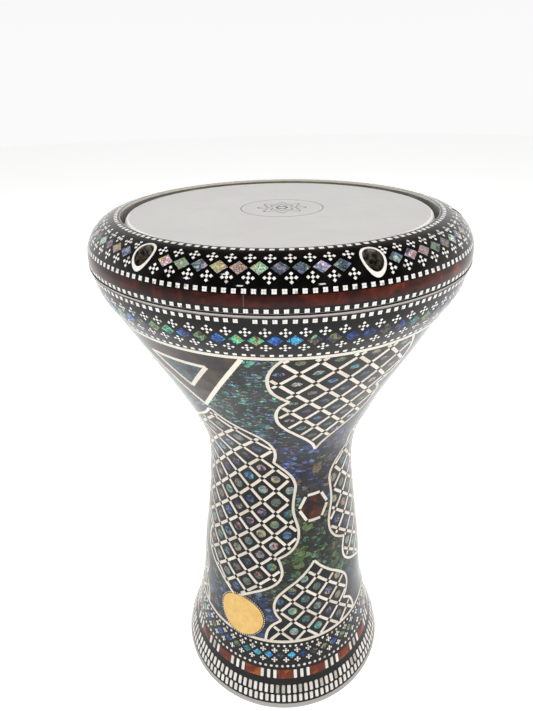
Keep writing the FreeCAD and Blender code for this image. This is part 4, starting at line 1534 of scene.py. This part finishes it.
def tube_finish():
    """Cream on the cut end, dust and painted shade down the inside."""
    finish = Finish("cream_tube")
    cloud = finish.noise(1.5, detail=3)
    colour = finish.mix(finish.between(cloud, 0.4, 0.75), tone(246, 242, 234), tone(226, 220, 208))
    # The tube's inside is painted dark: dust, and painted shade down the well.
    inside = well_distance(finish) < FERRULE_INNER + 0.12
    colour = finish.mix(inside, colour, dust_and_shade(finish, finish.noise(2.6, detail=4)))
    return finish.finish(Base_Color=colour, Roughness=0.35, Coat_Weight=0.4,
                         Normal=finish.bump(cloud, 0.03, 0.3))


film_finish = satin_film()
ink_finish = speckled("grey_ink", tone(58, 58, 60), tone(84, 84, 86), 0.5)
ferrule_finish = tube_finish()
bond_finish = speckled("amber_epoxy", tone(196, 176, 130), tone(214, 196, 152), 0.35, 4.0)
print("made film, ink, tube and epoxy")

# %% Dress every piece
FINISHES = [
    (resin, [foot_resin, bowl_resin, shoulder_resin, beds, hexagon_beds, rope_bed]),
    (ground, [neck_ground]),
    (cream_pearl, [foot_pearl, bowl_pearl, frames, lattice, gable_strips, hexagon_sticks]),
    (white_pearl, [ring_squares, ring_dashes, ring_crosses, bowl_squares, bowl_crosses,
                   rope_dashes]),
    (foot_pearl_finish, [foot_dots, foot_crosses, block_sticks, foot_sticks]),
    (silver_shell, [ring_diamonds]),
    (blue_shell, [bowl_diamonds, foot_diamonds]),
    (dot_shell, [dots]),
    (gable_shell, [gable_centres]),
    (band_tortoise, [tortoise_ring]),
    (plaque_tortoise, [hexagons]),
    (block_tortoise, [foot_blocks]),
    (gable_tortoise, [gables]),
    (ferrule_finish, [well_ferrules]),
    (gilt_finish, [gilt_disc]),
    (film_finish, [film]),
    (ink_finish, [head_print]),
    (bolt_finish, socket_bolts),
    (casting_finish, [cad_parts["shell_casting"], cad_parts["tension_ring"]]),
    (hoop_finish, [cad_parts["head_hoop"]]),
    (washer_finish, [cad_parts["bolt_washers"]]),
    (bond_finish, [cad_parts["head_bond"]]),
]
for finish, dressed in FINISHES:
    for piece in dressed:
        piece.data.materials.clear()
        piece.data.materials.append(finish)
print(sum(len(dressed) for finish, dressed in FINISHES), "pieces dressed")

# %% [markdown]
# ## Floor, light and camera
# Lacquer is only as good as what it mirrors.  A wide pale floor, a sky that is bright at the
# horizon and dim above, and a few soft lamps give the pale edges and the small highlights.

# %% Floor
FLOOR_RADIUS = 6.0


def make_floor():
    mesh = bpy.data.meshes.new("floor")
    corners = [(FLOOR_RADIUS * math.cos(k * math.tau / 64),
                FLOOR_RADIUS * math.sin(k * math.tau / 64), -0.0003) for k in range(64)]
    mesh.from_pydata(corners, [], [list(range(64))])
    floor = bpy.data.objects.new("floor", mesh)
    bpy.context.scene.collection.objects.link(floor)
    finish = Finish("pale_floor")
    cloud = finish.noise(400, detail=3)
    colour = finish.mix(finish.between(cloud, 0.3, 0.7), tone(196, 196, 196), tone(190, 190, 190))
    glow = {"Emission_Color": tone(255, 255, 255), "Emission_Strength": 0.8}
    floor.data.materials.append(finish.finish(Base_Color=colour, Roughness=0.9, **glow))
    return floor


floor = make_floor()

# %% Sky and lamps
def make_sky():
    """Bright low down behind the drum; dim overhead and behind the player."""
    world = bpy.data.worlds.new("studio")
    bpy.context.scene.world = world
    world.use_nodes = True
    sky = Sheet(world.node_tree)
    across, away, height = sky.parts(sky.node("ShaderNodeTexCoord", out="Generated"))
    behind = sky.ramp(height, [(0.0, tone(250, 250, 250)), (0.17, tone(248, 248, 248)),
                               (0.42, tone(196, 194, 190)), (0.7, tone(98, 97, 95)),
                               (1.0, tone(72, 72, 72))])
    before = sky.ramp(height, [(0.0, tone(225, 225, 225)), (0.12, tone(170, 170, 170)),
                               (0.3, tone(92, 92, 92)), (1.0, tone(72, 72, 72))])
    colour = sky.mix(sky.between(away, -0.3, 0.25), before, behind)
    sky.output("ShaderNodeOutputWorld",
               sky.node("ShaderNodeBackground", None, {"Color": colour, "Strength": 1.0}))


def make_lamp(name, place, power, size, aim=(0, 0, 0.25)):
    """A soft square lamp that points at the drum."""
    lamp = bpy.data.lights.new(name, "AREA")
    lamp.energy, lamp.size = power, size
    holder = bpy.data.objects.new(name, lamp)
    bpy.context.scene.collection.objects.link(holder)
    holder.location = place
    holder.rotation_mode = "QUATERNION"
    holder.rotation_quaternion = (Vector(aim) - Vector(place)).to_track_quat("-Z", "Y")
    return holder


WINDOW_REACH, HEAD_HEIGHT = 1.6, 0.44
WINDOWS = [(-55, 31), (-22, 29), (24, 30), (58, 33), (-40, 52), (75, 45)]    # turn, rise


def make_window(turn, rise=31, power=0.9, size=0.085):
    """A small bright lamp far in front, which shows as a glint on the ring."""
    name = f"window_{turn:.0f}"
    turn, rise = math.radians(turn), math.radians(rise)
    place = (WINDOW_REACH * math.cos(rise) * math.sin(turn),
             -WINDOW_REACH * math.cos(rise) * math.cos(turn),
             HEAD_HEIGHT + WINDOW_REACH * math.sin(rise))
    return make_lamp(name, place, power, size, (0, 0, HEAD_HEIGHT))


make_sky()
PANELS = [("ceiling_panel", (0.0, 0.3, 2.7), 34, 2.0), ("front_panel", (0.3, -2.4, 1.5), 26, 1.4),
          ("left_panel", (-2.3, 0.3, 1.0), 9, 1.2), ("right_panel", (2.3, 0.3, 1.0), 9, 1.2)]
for panel in PANELS:
    make_lamp(*panel).visible_glossy = False
for turn, rise in WINDOWS:
    make_window(turn, rise)
bpy.context.scene.view_settings.view_transform = "Standard"
print("sky and", len(bpy.data.lights), "lamps")

# %% Camera
CAMERA_PLACE = (0, -0.4021, 0.5321)
CAMERA_ANGLES = (27.13, -1.632, -1.306)     # degrees down, to the side, and of roll
LENS = 27.02


def make_camera():
    """A camera held in front of the drum and above it, looking down at the head."""
    pitch, swing, roll = (math.radians(angle) for angle in CAMERA_ANGLES)
    forward = Vector((math.cos(pitch) * math.sin(swing), math.cos(pitch) * math.cos(swing),
                      -math.sin(pitch)))
    level = Vector((math.cos(swing), -math.sin(swing), 0))
    upright = level.cross(forward)
    right = level * math.cos(roll) + upright * math.sin(roll)
    camera = bpy.data.cameras.new("camera")
    camera.lens, camera.sensor_width = LENS, 36.0
    camera.clip_start, camera.clip_end = 0.02, 50
    holder = bpy.data.objects.new("camera", camera)
    bpy.context.scene.collection.objects.link(holder)
    up = right.cross(forward)
    turn = Matrix((right, up, -forward)).transposed()
    holder.matrix_world = Matrix.Translation(CAMERA_PLACE) @ turn.to_4x4()
    bpy.context.scene.camera = holder
    return holder


camera = make_camera()
print("camera at", [round(value, 3) for value in camera.matrix_world.translation])
